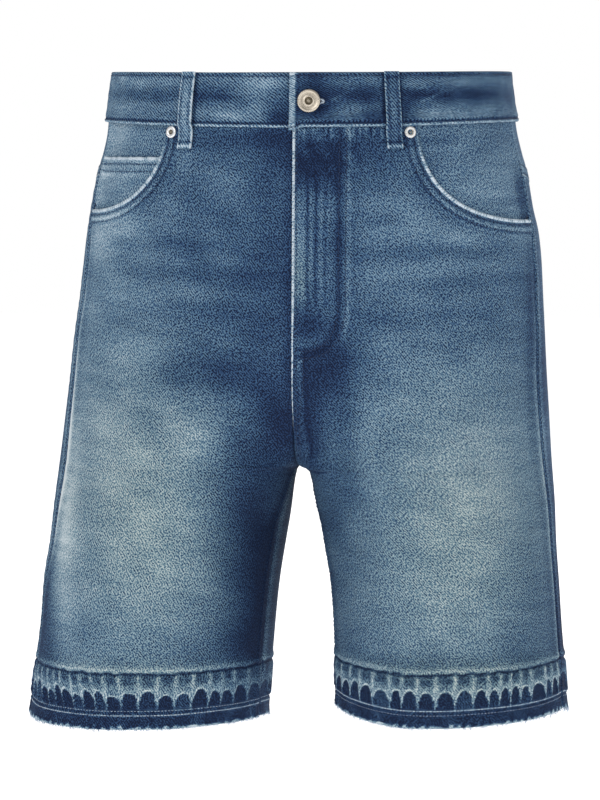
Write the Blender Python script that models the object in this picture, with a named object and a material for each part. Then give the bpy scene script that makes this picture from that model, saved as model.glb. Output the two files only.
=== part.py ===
"""Denim shorts, filled out as if worn: five pockets, a lapped waistband and a let-down raw hem.

Frame: metres, +Z up, -Y the front, +X the wearer's left. The origin is the middle of the waist
opening, level with the top of the waistband. Sizes below are millimetres.

Every cloth piece is a wall between two grids of points. The outer grid lies on one surface,
which is a ring round the hips above the crotch and a ring round each leg below it, and the
inner grid is the same points moved inwards by the cloth's thickness.
"""
import math

import bmesh
import bpy
import numpy as np

MM = 0.001

# ---------------------------------------------------------------- cloth and seams
CLOTH = 1.3             # one ply of denim, as sewn
PLY_GAP = 0.6           # between a piece and the ply that it lies on
SEAM_GAP = 0.3          # between two pieces that are sewn edge to edge
EDGE = SEAM_GAP / 2
EDGE_ANGLE = 0.12       # degrees round a section that give about EDGE at a side seam

# ---------------------------------------------------------------- heights, from the waist down
BAND_TOP_FRONT = -3.0   # the waistband's top edge, level with the origin at the back
BAND_TOP_SIDE = -1.4
BAND_FOOT_SIDE = -38.0  # its lower edge
BAND_FOOT_FRONT = -42.0
BAND_FOOT_BACK = -40.0
CROTCH = -291.5
HEM = {1: -479.5, -1: -485.5}       # lowest part of the raw edge, wearer's left and right
CREASE = {1: 40.0, -1: 42.0}        # where the hem was once folded, above the raw edge
HEM_STITCH = {1: 12.0, -1: 13.0}    # the row that holds the let-down hem, above the raw edge
# How far the raw edge is drawn up, from the inseam (across 0) to the side seam (across 1).
HEM_LINE_COLUMNS = ("height", "left", "right")
HEM_LINE = (
    (1.0, 7.5, 3.4),
    (0.87, 5.5, 0.8),
    (0.64, 2.5, 0.0),
    (0.42, 0.0, 1.2),
    (0.19, 4.5, 3.0),
    (0.0, 9.0, 3.6),
)
BACK_HEM_FADE = 0.15                # across over which the back's edge drops from its seams
FRONT = "front"
BACK = "back"
RISE = {FRONT: 85.0, BACK: 120.0}   # height over which the seam turns under the crotch
HIP_CLIMB = 100.0
BLEND_HEIGHT = 110.0    # height over which the two leg rings become one hip ring
SPREAD_FROM = -200.0    # above this the columns spread evenly round the hips
SPREAD_HEIGHT = 72.0

# ---------------------------------------------------------------- the outline, seen from in front
HIP_COLUMNS = ("height", "right", "left", "front", "back")
HIPS = (
    (0.0, -147.0, 148.6, -106.5, 106.0),
    (-20.0, -150.0, 150.6, -108.0, 108.8),
    (-44.0, -151.6, 153.6, -110.0, 112.0),
    (-80.0, -160.0, 162.2, -113.5, 118.0),
    (-102.0, -164.5, 165.9, -115.3, 121.4),
    (-122.0, -168.0, 170.3, -116.6, 124.2),
    (-150.0, -171.4, 173.2, -117.6, 127.0),
    (-180.0, -175.2, 174.9, -118.0, 128.0),
    (-210.0, -179.1, 176.0, -117.8, 126.5),
    (-240.0, -182.8, 177.6, -116.5, 122.5),
    (-291.5, -188.9, 180.8, -113.0, 112.0),
)
LEG_COLUMNS = ("height", "outer", "inner", "front", "back")
LEGS = {
    1: (
        (-170.0, 174.6, -2.5, -114.0, 122.0),
        (-210.0, 176.0, -2.5, -114.0, 118.0),
        (-250.0, 178.2, -2.5, -113.5, 113.0),
        (-291.5, 180.8, -2.5, -112.0, 108.0),
        (-293.0, 180.9, 2.0, -111.9, 107.9),
        (-296.0, 181.1, 4.6, -111.7, 107.6),
        (-302.0, 181.5, 6.4, -111.2, 107.2),
        (-310.0, 182.1, 7.4, -110.8, 106.4),
        (-321.0, 182.8, 8.4, -110.0, 105.0),
        (-336.0, 183.5, 10.6, -108.6, 103.0),
        (-351.0, 184.3, 13.0, -107.0, 101.0),
        (-381.0, 186.6, 17.8, -104.0, 98.0),
        (-411.0, 188.8, 19.8, -100.0, 95.0),
        (-441.0, 191.4, 20.5, -96.0, 93.0),
        (-484.0, 194.8, 20.6, -92.0, 91.0),
    ),
    -1: (
        (-170.0, -174.0, -2.5, -114.0, 122.0),
        (-210.0, -179.1, -2.5, -114.0, 118.0),
        (-250.0, -183.9, -2.5, -113.5, 113.0),
        (-291.5, -188.9, -2.5, -112.0, 108.0),
        (-293.0, -189.1, -5.6, -111.9, 107.9),
        (-296.0, -189.4, -7.6, -111.7, 107.6),
        (-302.0, -190.1, -9.4, -111.2, 107.2),
        (-310.0, -191.1, -11.4, -110.8, 106.4),
        (-321.0, -192.4, -13.8, -110.0, 105.0),
        (-336.0, -194.0, -16.8, -108.6, 103.0),
        (-351.0, -195.8, -19.4, -107.0, 101.0),
        (-381.0, -200.4, -24.2, -104.0, 98.0),
        (-411.0, -203.5, -27.3, -100.0, 95.0),
        (-441.0, -207.2, -30.0, -96.0, 93.0),
        (-484.0, -213.2, -33.0, -92.0, 91.0),
    ),
}
HIP_SQUARENESS = 2.2    # 2 is an ellipse, more is squarer
LEG_SQUARENESS = 2.15

# How far the side seam runs forward of the outermost line, in degrees round the ring.
SEAM_COLUMNS = ("height", "right", "left")
SIDE_SEAMS = (
    (-36.0, 16.0, 8.0),
    (-104.0, 18.0, 9.0),
    (-165.0, 24.0, 13.0),
    (-235.0, 29.0, 17.5),
    (-300.0, 32.0, 14.0),
    (-350.0, 28.0, 10.5),
    (-405.0, 20.5, 9.5),
    (-480.0, 17.0, 12.5),
)
CENTRE_COLUMNS = ("height", "seat_seam", "fly_shift")
CENTRE_LINE = (
    (0.0, 0.0, 3.6),
    (-120.0, 0.0, 4.4),
    (-210.0, -0.6, 4.6),
    (-250.0, -1.2, 3.6),
    (-275.0, -1.9, 1.8),
    (-291.5, -2.5, 0.0),
)
INSEAM_FORWARD = 14.0   # degrees in front of the innermost line, below the crotch
INSEAM_SETTLE = 50.0    # height over which it gets there
CROTCH_Y = -28.0        # where the four seams meet
LEG_AXIS_Y = -3.0

# ---------------------------------------------------------------- the largest folds
# A fold runs from one end to the other, in x and height; push is outwards, or inwards below 0.
FOLD_COLUMNS = ("face", "x0", "z0", "x1", "z1", "width", "push")
FOLDS = (
    ("front", -10.0, -276.0, -62.0, -296.0, 11.0, -3.4),
    ("front", -22.0, -258.0, -86.0, -270.0, 13.0, 1.6),
    ("front", 6.0, -268.0, 52.0, -286.0, 12.0, -2.2),
    ("front", -40.0, -312.0, -52.0, -420.0, 15.0, -1.8),
    ("front", 34.0, -305.0, 44.0, -400.0, 15.0, -1.3),
    ("front", -150.0, -160.0, -40.0, -178.0, 12.0, 1.2),
    ("front", -150.0, -190.0, -30.0, -206.0, 12.0, 1.3),
    ("front", 45.0, -176.0, 150.0, -166.0, 12.0, 1.1),
    ("front", 50.0, -205.0, 150.0, -196.0, 12.0, 1.2),
    ("back", -8.0, -262.0, -46.0, -304.0, 12.0, -2.6),
    ("back", 6.0, -262.0, 44.0, -304.0, 12.0, -2.6),
    ("back", -40.0, -318.0, -110.0, -330.0, 14.0, 1.5),
    ("back", 34.0, -318.0, 104.0, -330.0, 14.0, 1.5),
)
FLY_STEP = 0.8          # wearer's left front stands this much proud of the right one at the fly
FLY_STEP_WIDTH = 0.28   # share of the panel's width over which the step fades

# ---------------------------------------------------------------- grids
FRONT_COLUMNS_TO_MOUTH = 6
MOUTH_SHARES = (0.02, 0.08, 0.18, 0.32, 0.48, 0.65, 0.82, 1.0)  # columns across the pocket mouth
BACK_COLUMNS = 14
HEM_COLUMNS_PER_CELL = 6
LEG_ROWS = (0.245, 0.36, 0.48, 0.61, 0.73, 0.835, 0.905, 0.95, 0.984, 1.0)   # shares of the leg
HEM_BAND = 44.0         # height of the finely modelled band at the hem
HEM_ROWS = (0.0, 0.3, 0.45, 0.65, 0.85, 1.0)    # shares of that band, from the raw edge up
RISE_ROWS = 7
HIP_ROWS = 6
ROPE_LOBES = {"front": 20, "back": 27}
ROPE_DEPTH = 0.8
CREASE_DEPTH = 0.6
STITCH_DEPTH = 0.45

# ---------------------------------------------------------------- front pockets
MOUTH_START_X = 93.0    # from the middle, along x, at the waistband
MOUTH_FOOT = {1: -111.5, -1: -104.5}
MOUTH_SQUARENESS = 2.8
FACING_REACH = 0.14     # the facing goes on under the front, as a share of the front's width
FACING_FOOT = 16.0      # and this far below the mouth
FACING_HEIGHT = 30.0    # its least height
COIN_TOP = -65.0
COIN_FOOT = -106.0
COIN_ACROSS = (0.04, 0.80)  # shares of the width from the mouth's start to the side seam

# ---------------------------------------------------------------- back yoke and pockets
YOKE_FOOT_MIDDLE = -112.0
YOKE_FOOT_SIDE = -78.0
BACK_POCKET_TOP = (-126.0, -121.0)  # height at its inner and outer corner
BACK_POCKET_TOP_X = (37.0, 150.0)
BACK_POCKET_FOOT = -262.0
BACK_POCKET_FOOT_X = (41.0, 139.0)
BACK_POCKET_POINT = 20.0        # how much lower the middle of its foot is
BACK_POCKET_GAP = 0.9
BACK_POCKET_CELLS = (10, 10)    # across and up

# ---------------------------------------------------------------- waistband, loops, fly
BAND_LIFT = 1.3         # the band's face outside the panels' face
BAND_FLARE = 1.3        # and this much more at its foot
BAND_THICKNESS = 3.0
BAND_STEP = 6.0         # degrees round the waist between its columns
BAND_ROWS = 3
LAP_END_X = 2.4         # finished end of the wearer's left, on top
LAP_UNDER_X = 38.0      # the wearer's right goes on under it to here
LAP_FADE = 55.0         # length over which each end leaves the common line
LAP_OFFSET = BAND_THICKNESS / 2 + 0.3
WAIST_RUN = 2.6         # length round the waist for one degree of ring angle
LOOP_WIDTH = 12.0
LOOP_THICKNESS = 2.0
LOOP_TOP = -2.6
LOOP_FOOT = -58.0
LOOP_BULGE = 1.2
LOOP_GAP = 0.9
LOOP_ANGLES = (-128.0, -27.9, 26.8, 128.0, 180.0)
LOOP_ROWS = (LOOP_FOOT, -52.0, -46.0, -41.0, -35.0, -28.0, -20.0, -12.0, -5.0, LOOP_TOP)
FLY_FACING_REACH = (4.6, 44.0)  # from x to x
FLY_FACING_LIFT = -2.3
FLY_SHIELD_LIFT = -4.9
FLY_FACING_FOOT = -178.0
FLY_SHIELD_REACH = (-14.0, 38.0)
FLY_SHIELD_FOOT = -182.0
FLY_FOOT_CURVE = 34.0      # how far a fly piece is cut up towards its outer edge

# ---------------------------------------------------------------- metal
BUTTON_X = 15.0
BUTTON_Z = -24.0
BUTTON_RADIUS = 8.5
RIVET_ANGLES = {1: 31.8, -1: 33.4}
RIVET_Z = -46.0
RIVET_RADIUS = 4.5
METAL_GAP = 0.75
BUTTON_STEPS = 24
RIVET_STEPS = 16


# ================================================================ surface
def column(rows, names, name):
    """One named column of a short table, as an array."""
    return np.array([row[names.index(name)] for row in rows], dtype=float)


def smooth_table(rows, names, name, height):
    """Read a table at any height on a cubic curve that never overshoots its rows."""
    z = column(rows, names, "height")[::-1]
    value = column(rows, names, name)[::-1]
    step = np.diff(z)
    slope = np.diff(value) / step
    tangent = np.zeros_like(value)
    same = slope[:-1] * slope[1:] > 0
    total = slope[:-1] + slope[1:]
    tangent[1:-1] = np.where(same, 2 * slope[:-1] * slope[1:] / np.where(same, total, 1.0), 0.0)
    tangent[0] = slope[0]
    tangent[-1] = slope[-1]
    at = np.clip(np.asarray(height, dtype=float), z[0], z[-1])
    cell = np.clip(np.searchsorted(z, at) - 1, 0, len(step) - 1)
    t = (at - z[cell]) / step[cell]
    low = value[cell] * (1 + 2 * t) * (1 - t) ** 2 + value[cell + 1] * t ** 2 * (3 - 2 * t)
    bend = tangent[cell] * t * (1 - t) ** 2 - tangent[cell + 1] * t ** 2 * (1 - t)
    return low + bend * step[cell]


def smoothstep(t):
    t = np.clip(t, 0.0, 1.0)
    return t * t * (3 - 2 * t)


def mix(a, b, t):
    return a + (b - a) * t


def rounded(value, squareness):
    """A sine or cosine bent towards a squarer ring."""
    return np.sign(value) * np.abs(value) ** (2.0 / squareness)


def ring(angle, side, middle_x, half_width, middle_in, middle_out, front, back, squareness):
    """A point of a ring, angle counted from the front towards the wearer's side."""
    across = rounded(np.sin(angle), squareness)
    along = rounded(np.cos(angle), squareness)
    middle = (middle_in + middle_out) / 2
    y_mid = mix(middle_in, middle_out, (1 + across) / 2)
    depth = np.where(along > 0, middle - front, back - middle)
    return middle_x + side * half_width * across, y_mid - depth * along


def seam_angle(side, z):
    """Angle of the side seam round the ring, from the front."""
    forward = smooth_table(SIDE_SEAMS, SEAM_COLUMNS, "left" if side > 0 else "right", z)
    return 90.0 - forward


def centre_x(z):
    return smooth_table(CENTRE_LINE, CENTRE_COLUMNS, "seat_seam", z)


def hip_ring(side, angle, z):
    name = "left" if side > 0 else "right"
    middle = centre_x(z)
    reach = np.abs(smooth_table(HIPS, HIP_COLUMNS, name, z) - middle)
    front = smooth_table(HIPS, HIP_COLUMNS, "front", z)
    back = smooth_table(HIPS, HIP_COLUMNS, "back", z)
    return ring(angle, side, middle, reach, 0.0, 0.0, front, back, HIP_SQUARENESS)


def leg_ring(side, angle, z):
    outer, inner, front, back = (smooth_table(LEGS[side], LEG_COLUMNS, name, z)
                                 for name in LEG_COLUMNS[1:])
    inner = np.where(z >= CROTCH, centre_x(z), inner)
    inner_y = mix(CROTCH_Y, LEG_AXIS_Y, smoothstep((CROTCH - z) / INSEAM_SETTLE))
    return ring(angle, side, (outer + inner) / 2, np.abs(outer - inner) / 2, inner_y, 0.0,
                front, back, LEG_SQUARENESS)


def leg_angle(side, face, across, z):
    """Ring angle on the leg: the inseam at across 0, the side seam at across 1."""
    outer = seam_angle(side, z)
    inner = -90.0 + INSEAM_FORWARD * smoothstep((CROTCH - z) / INSEAM_SETTLE)
    if face == FRONT:
        return np.radians(mix(inner + EDGE_ANGLE, outer - EDGE_ANGLE, across))
    return np.radians(mix(inner - EDGE_ANGLE, outer + EDGE_ANGLE - 360.0, across))


def hip_angle(side, face, across, z, leg_x, leg_turn):
    """Ring angle on the hips.

    Near the legs it is the place with the same x as the leg's point, so that mixing the two
    only moves a point to and fro. Higher up the columns are spread evenly.
    """
    middle = centre_x(z)
    outer_x = smooth_table(HIPS, HIP_COLUMNS, "left" if side > 0 else "right", z)
    share = np.clip((leg_x - middle) / (outer_x - middle), 0, 1)
    same_x = np.degrees(np.arcsin(share ** (HIP_SQUARENESS / 2)))
    same_x = np.where(np.cos(leg_turn) < 0, 180.0 - same_x, same_x)
    outer = seam_angle(side, z)
    if face == FRONT:
        even = mix(0.0, outer - EDGE_ANGLE, across)
    else:
        even = mix(180.0, outer + EDGE_ANGLE, across)
    return np.radians(mix(same_x, even, smoothstep((z - SPREAD_FROM) / SPREAD_HEIGHT)))


def blended(side, face, across, z, turn):
    """Mix of the leg ring and the hip ring; turn is 0 at the crotch and 1 above the rise."""
    leg_turn = leg_angle(side, face, across, z)
    leg_x, leg_y = leg_ring(side, leg_turn, z)
    hip_x, hip_y = hip_ring(side, hip_angle(side, face, across, z, leg_x, leg_turn), z)
    outer_share = smoothstep((z - CROTCH) / BLEND_HEIGHT)
    share = mix(np.sin(turn * math.pi / 2), outer_share, smoothstep(across / 0.55))
    x = mix(leg_x, hip_x, share)
    y = mix(leg_y, hip_y, share)
    if face == FRONT:
        shift = smooth_table(CENTRE_LINE, CENTRE_COLUMNS, "fly_shift", z)
        x = x + shift * (1 - smoothstep(across / 0.6))
    return np.stack([x, y, z + 0 * x], axis=-1)


def surface(side, face, across, climb):
    """Panel face, from the hem to the waist.

    across runs 0 to 1 from the rise seam or inseam to the side seam. climb runs 0 to 1 from
    the hem to the crotch, 1 to 2 up the rise, and from there on one HIP_CLIMB a unit. On the
    rise a row starts on a quarter ellipse at the seam and levels out towards the side.
    """
    turn = np.clip(climb - 1, 0, 1)
    leg_z = mix(HEM[side], CROTCH, np.clip(climb, None, 1))
    seam_z = RISE[face] * (1 - np.cos(turn * math.pi / 2))
    side_z = RISE[face] * turn
    above = np.clip(climb - 2, 0, None) * HIP_CLIMB
    z = leg_z + mix(seam_z, side_z, smoothstep(across / 0.45)) + above
    return blended(side, face, across, z, turn)


def leg_climb(side, z):
    """climb of a height on the leg."""
    return (z - HEM[side]) / (CROTCH - HEM[side])


def climb_at(face, z):
    """climb of a height above the rise."""
    return 2 + (z - CROTCH - RISE[face]) / HIP_CLIMB


def normals(side, face, across, climb):
    """Unit vectors pointing out of the panel face, from differences across and up."""
    step = 0.002
    lift = 0.005
    d_across = surface(side, face, across + step, climb) - surface(side, face, across - step, climb)
    d_climb = surface(side, face, across, climb + lift) - surface(side, face, across, climb - lift)
    out = np.cross(d_across, d_climb) * side * (1 if face == FRONT else -1)
    return out / np.linalg.norm(out, axis=-1, keepdims=True)


def find_place(side, face, x, z):
    """across and climb of the panel's point at a given x and height, by repeated correction."""
    across = np.clip(np.abs(x) / 190.0, 0.05, 1.0) + 0 * z
    climb = np.where(z > CROTCH, 1 + (z - CROTCH) / RISE[face], leg_climb(side, z)) + 0 * x
    for _ in range(30):
        point = surface(side, face, across, climb)
        ahead = surface(side, face, across + 0.01, climb)
        slope = np.maximum(side * (ahead[..., 0] - point[..., 0]) / 0.01, 60.0)
        across = np.clip(across + 0.8 * side * (x - point[..., 0]) / slope, 0.0, 1.0)
        climb = climb + 0.7 * (z - point[..., 2]) / (CROTCH - HEM[side])
    return across, climb


def fold_push(points, face, across):
    """How far the folds move each point out of the cloth. They die out at the seams."""
    push = np.zeros(points.shape[:-1])
    for row in FOLDS:
        fold = dict(zip(FOLD_COLUMNS, row))
        if fold["face"] != face:
            continue
        run = np.array([fold["x1"] - fold["x0"], fold["z1"] - fold["z0"]])
        length = np.linalg.norm(run)
        away = points[..., (0, 2)] - np.array([fold["x0"], fold["z0"]])
        along = away @ run / length ** 2
        off = (away[..., 0] * run[1] - away[..., 1] * run[0]) / length
        ends = smoothstep(along / 0.25 + 0.5) * smoothstep((1 - along) / 0.3 + 0.3)
        push += fold["push"] * np.exp(-(off / fold["width"]) ** 2) * ends
    sign = -1 if face == FRONT else 1
    seams = smoothstep(across / 0.15) * smoothstep((1 - across) / 0.12)
    return push * seams * smoothstep(sign * points[..., 1] / 60.0)


def fly_push(side, face, across, z):
    """The wearer's left front lies over the fly; the right front lies under it."""
    if face == BACK:
        return 0.0 * across
    fade = 1 - smoothstep(across / FLY_STEP_WIDTH)
    height = smoothstep((z - CROTCH) / 60.0)
    return side * FLY_STEP * fade * height


def wall(side, face, across, climb, relief=0.0):
    """Outer and inner points of a one-ply wall on the panel face."""
    base = surface(side, face, across, climb)
    out = normals(side, face, across, climb)
    push = fold_push(base, face, across) + fly_push(side, face, across, base[..., 2])
    plain = base + out * push[..., None]
    outer = plain + out * np.broadcast_to(relief, push.shape)[..., None]
    inner = plain - out * CLOTH
    return hold_middle(outer, side, face), hold_middle(inner, side, face)


def hold_middle(points, side, face):
    """Keep every point above the crotch at least EDGE from the middle seam."""
    middle = centre_x(points[..., 2])
    if face == FRONT:
        middle = middle + smooth_table(CENTRE_LINE, CENTRE_COLUMNS, "fly_shift", points[..., 2])
    middle = np.where(points[..., 2] < CROTCH - 0.01, centre_x(CROTCH), middle)
    held = points.copy()
    held[..., 0] = middle + side * np.maximum(side * (points[..., 0] - middle), EDGE)
    return held


# ================================================================ meshes
def material(name, colour, roughness, metallic):
    made = bpy.data.materials.new(name)
    made.use_nodes = True
    shader = made.node_tree.nodes["Principled BSDF"]
    shader.inputs["Base Color"].default_value = (*colour, 1.0)
    shader.inputs["Roughness"].default_value = roughness
    shader.inputs["Metallic"].default_value = metallic
    return made


def add_object(name, points, faces, made_of, smooth_angle=40.0):
    """A closed mesh from millimetre points, its faces turned outwards."""
    mesh = bpy.data.meshes.new(name)
    mesh.from_pydata((np.asarray(points) * MM).tolist(), [], [[int(i) for i in f] for f in faces])
    work = bmesh.new()
    work.from_mesh(mesh)
    bmesh.ops.recalc_face_normals(work, faces=work.faces)
    work.to_mesh(mesh)
    work.free()
    mesh.shade_smooth()
    mesh.set_sharp_from_angle(angle=math.radians(smooth_angle))
    mesh.materials.append(made_of)
    made = bpy.data.objects.new(name, mesh)
    bpy.context.scene.collection.objects.link(made)
    return made


def grid_faces(index):
    """Quads of a grid of vertex numbers."""
    low_left, low_right = index[:-1, :-1], index[:-1, 1:]
    top_left, top_right = index[1:, :-1], index[1:, 1:]
    return np.stack([low_left, low_right, top_right, top_left], -1).reshape(-1, 4).tolist()


def strip_faces(first, second):
    """Quads between two equal rows of vertex numbers."""
    return grid_faces(np.stack([np.asarray(first), np.asarray(second)]))


def fan_faces(coarse, fine):
    """Triangles between a coarse row and a row with a whole number of steps to each of its cells."""
    per_cell = (len(fine) - 1) // (len(coarse) - 1)
    faces = []
    for cell in range(len(coarse) - 1):
        start = cell * per_cell
        half = start + per_cell // 2
        for j in range(start, half):
            faces.append((coarse[cell], fine[j], fine[j + 1]))
        faces.append((coarse[cell], fine[half], coarse[cell + 1]))
        for j in range(half, start + per_cell):
            faces.append((coarse[cell + 1], fine[j], fine[j + 1]))
    return faces


def patch_object(name, outer, inner, made_of):
    """A wall between two grids of the same size."""
    rows, columns = outer.shape[:2]
    count = rows * columns
    out_id = np.arange(count).reshape(rows, columns)
    in_id = out_id + count
    faces = grid_faces(out_id) + grid_faces(in_id)
    for edge in (np.s_[0, :], np.s_[-1, :], np.s_[:, 0], np.s_[:, -1]):
        faces += strip_faces(out_id[edge], in_id[edge])
    points = np.concatenate([outer.reshape(-1, 3), inner.reshape(-1, 3)])
    return add_object(name, points, faces, made_of)


def turned_object(name, profile, centre, normal, steps, made_of):
    """A closed turned solid. The profile lists radius and height from foot to top, axis to axis."""
    normal = np.asarray(normal, dtype=float) / np.linalg.norm(normal)
    right = np.cross(normal, (0.0, 0.0, 1.0))
    right /= np.linalg.norm(right)
    up = np.cross(right, normal)
    turn = np.arange(steps) * 2 * math.pi / steps
    circle = np.cos(turn)[:, None] * right + np.sin(turn)[:, None] * up
    rings = [centre + radius * circle + height * normal for radius, height in profile[1:-1]]
    points = np.concatenate([[centre + profile[0][1] * normal], *rings,
                             [centre + profile[-1][1] * normal]])
    faces = []
    ids = [1 + steps * k + np.arange(steps) for k in range(len(rings))]
    for step in range(steps):
        ahead = (step + 1) % steps
        faces.append((0, ids[0][step], ids[0][ahead]))
        faces.append((len(points) - 1, ids[-1][ahead], ids[-1][step]))
        for low, high in zip(ids, ids[1:]):
            faces.append((low[step], low[ahead], high[ahead], high[step]))
    return add_object(name, points, faces, made_of)


# ================================================================ lines on the surface
def band_foot(angle):
    """Height of the waistband's lower edge at a ring angle in radians."""
    ahead = np.cos(angle)
    drop = np.where(ahead > 0, BAND_FOOT_FRONT - BAND_FOOT_SIDE, BAND_FOOT_BACK - BAND_FOOT_SIDE)
    return BAND_FOOT_SIDE + drop * ahead ** 2


def band_top(angle):
    """Height of its upper edge, 0 at the back."""
    ahead = np.cos(angle)
    return BAND_TOP_SIDE * (1 - ahead ** 2) + np.where(ahead > 0, BAND_TOP_FRONT, 0.0) * ahead ** 2


def panel_top(side, face, across):
    """Height of the seam under the waistband, on a front panel or a yoke."""
    outer = np.radians(seam_angle(side, BAND_FOOT_SIDE))
    middle = 0.0 if face == FRONT else math.pi
    return band_foot(mix(middle, outer, across)) - EDGE


def mouth_start(side):
    """Share of the front's width at which the pocket mouth leaves the waistband."""
    z = BAND_FOOT_FRONT
    reach = np.abs(smooth_table(HIPS, HIP_COLUMNS, "left" if side > 0 else "right", z))
    angle = np.arcsin((MOUTH_START_X / reach) ** (HIP_SQUARENESS / 2))
    return float(np.degrees(angle) / seam_angle(side, z))


def mouth_line(side, share, start, foot):
    """Across and height along the scooped mouth, a square-shouldered quarter ellipse.

    share is 0 where the mouth leaves the waistband and 1 at the side seam.
    """
    share = np.asarray(share, dtype=float)
    top = panel_top(side, FRONT, start)
    drop = (1 - (1 - share) ** MOUTH_SQUARENESS) ** (1 / MOUTH_SQUARENESS)
    return start + (1 - start) * share, top + (foot - top) * drop


def yoke_foot(across):
    return mix(YOKE_FOOT_MIDDLE, YOKE_FOOT_SIDE, across)


# ================================================================ cloth pieces
def hem_lift(side, face, across):
    """How far the raw edge is drawn up above its lowest part."""
    name = "left" if side > 0 else "right"
    if face == FRONT:
        return smooth_table(HEM_LINE, HEM_LINE_COLUMNS, name, across)
    at_inseam, at_side = (smooth_table(HEM_LINE, HEM_LINE_COLUMNS, name, end) for end in (0.0, 1.0))
    return (at_inseam * (1 - smoothstep(across / BACK_HEM_FADE))
            + at_side * (1 - smoothstep((1 - across) / BACK_HEM_FADE)))


def hem_relief(side, face, across, above):
    """Old fold, roping and stitch row of the let-down hem, as a height on the cloth.

    above is the distance above the raw edge.
    """
    crease = CREASE[side]
    seam = HEM_STITCH[side]
    ends = smoothstep(across / 0.03) * smoothstep((1 - across) / 0.03)
    lean = (crease - above) / (crease - seam)
    phase = across * ROPE_LOBES[face] + 0.45 * lean + 0.12 * np.sin(across * 37.0)
    band = smoothstep((crease - above) / 8.0) * smoothstep((above - seam) / 8.0)
    rope = ROPE_DEPTH * (0.5 + 0.5 * np.cos(2 * math.pi * phase)) * band
    fold = CREASE_DEPTH * (np.exp(-((above - crease - 2.0) / 2.5) ** 2)
                           - np.exp(-((above - crease + 2.0) / 2.0) ** 2))
    stitch = -STITCH_DEPTH * np.exp(-((above - seam) / 2.5) ** 2)
    return (rope + fold + stitch) * ends


def column_places(side, face):
    """Column places across a panel: even low down, and those of the pocket mouth high up."""
    if face == BACK:
        even = np.linspace(0, 1, BACK_COLUMNS + 1)
        return even, even
    start = mouth_start(side)
    mouth, _ = mouth_line(side, MOUTH_SHARES, start, MOUTH_FOOT[side])
    inner = np.linspace(0, start, FRONT_COLUMNS_TO_MOUTH + 1)
    even = np.linspace(0, 1, FRONT_COLUMNS_TO_MOUTH + len(MOUTH_SHARES) + 1)
    return even, np.concatenate([inner, mouth])


def panel_grids(side, face):
    """Outer and inner points of a panel above its hem band, a row for each level."""
    even, high = column_places(side, face)
    leg = hem_lifted(side, face, even, np.array(LEG_ROWS)[:, None])
    rise = 1 + np.linspace(0, 1, RISE_ROWS + 1)[1:, None] + 0 * even
    levels = np.concatenate([leg, rise])
    low = wall(side, face, even + 0 * levels, levels)

    base = CROTCH + RISE[face]
    share = np.linspace(0, 1, HIP_ROWS + 1)[1:, None]
    across = mix(even, high, smoothstep(share * 1.4))
    if face == FRONT:
        _, mouth_z = mouth_line(side, MOUTH_SHARES, mouth_start(side), MOUTH_FOOT[side])
        top = np.concatenate([panel_top(side, FRONT, high[:FRONT_COLUMNS_TO_MOUTH + 1]), mouth_z])
    else:
        top = yoke_foot(high) - EDGE
    high_part = wall(side, face, across, climb_at(face, mix(base, top, share)))
    return [np.concatenate(pair) for pair in zip(low, high_part)]


def hem_lifted(side, face, across, climb):
    """climb of a row on the leg, drawn up with the raw edge and level again at the crotch."""
    drawn_up = hem_lift(side, face, across) / (CROTCH - HEM[side])
    return climb + drawn_up * (1 - climb) ** 2


def hem_grids(side, face, even):
    """The hem band: fine columns outside for its relief, the panel's own columns inside."""
    fine_count = (len(even) - 1) * HEM_COLUMNS_PER_CELL
    fine = np.interp(np.linspace(0, len(even) - 1, fine_count + 1), np.arange(len(even)), even)
    above = HEM_BAND * np.array(HEM_ROWS)[:, None]
    rows = above / (CROTCH - HEM[side])
    relief = hem_relief(side, face, fine, above)
    outer, _ = wall(side, face, fine + 0 * rows, hem_lifted(side, face, fine, rows), relief)
    _, inner = wall(side, face, even + 0 * rows, hem_lifted(side, face, even, rows))
    return outer, inner


def panel(name, side, face, made_of):
    """A front or back, from the raw hem to the waistband or the yoke."""
    even, _ = column_places(side, face)
    outer, inner = panel_grids(side, face)
    hem_outer, hem_inner = hem_grids(side, face, even)
    blocks = (outer, np.concatenate([hem_inner, inner]), hem_outer)
    ids = []
    first = 0
    for block in blocks:
        count = block.shape[0] * block.shape[1]
        ids.append(np.arange(first, first + count).reshape(block.shape[:2]))
        first += count
    out_id, in_id, hem_id = ids
    faces = grid_faces(out_id) + grid_faces(in_id) + grid_faces(hem_id)
    faces += fan_faces(out_id[0], hem_id[-1]) + fan_faces(in_id[0], hem_id[0])
    faces += strip_faces(out_id[-1], in_id[-1])
    for end in (0, -1):
        faces += strip_faces(np.concatenate([hem_id[:, end], out_id[:, end]]), in_id[:, end])
    points = np.concatenate([block.reshape(-1, 3) for block in blocks])
    return add_object(name, points, faces, made_of)


def layer(side, face, across, climb, lift, thickness):
    """Grids of a piece that lies along a panel: its face is lift outside the panel's face."""
    base = surface(side, face, across, climb)
    out = normals(side, face, across, climb)
    push = fold_push(base, face, across) + fly_push(side, face, across, base[..., 2]) + lift
    outer = base + out * push[..., None]
    return outer, outer - out * thickness


def yoke(name, side, made_of):
    across = np.linspace(0, 1, BACK_COLUMNS + 1)[None, :]
    share = np.linspace(0, 1, 4)[:, None]
    z = mix(yoke_foot(across) + EDGE, panel_top(side, BACK, across), share)
    outer, inner = layer(side, BACK, across + 0 * z, climb_at(BACK, z), 0.0, CLOTH)
    return patch_object(name, hold_middle(outer, side, BACK), hold_middle(inner, side, BACK), made_of)


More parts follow.
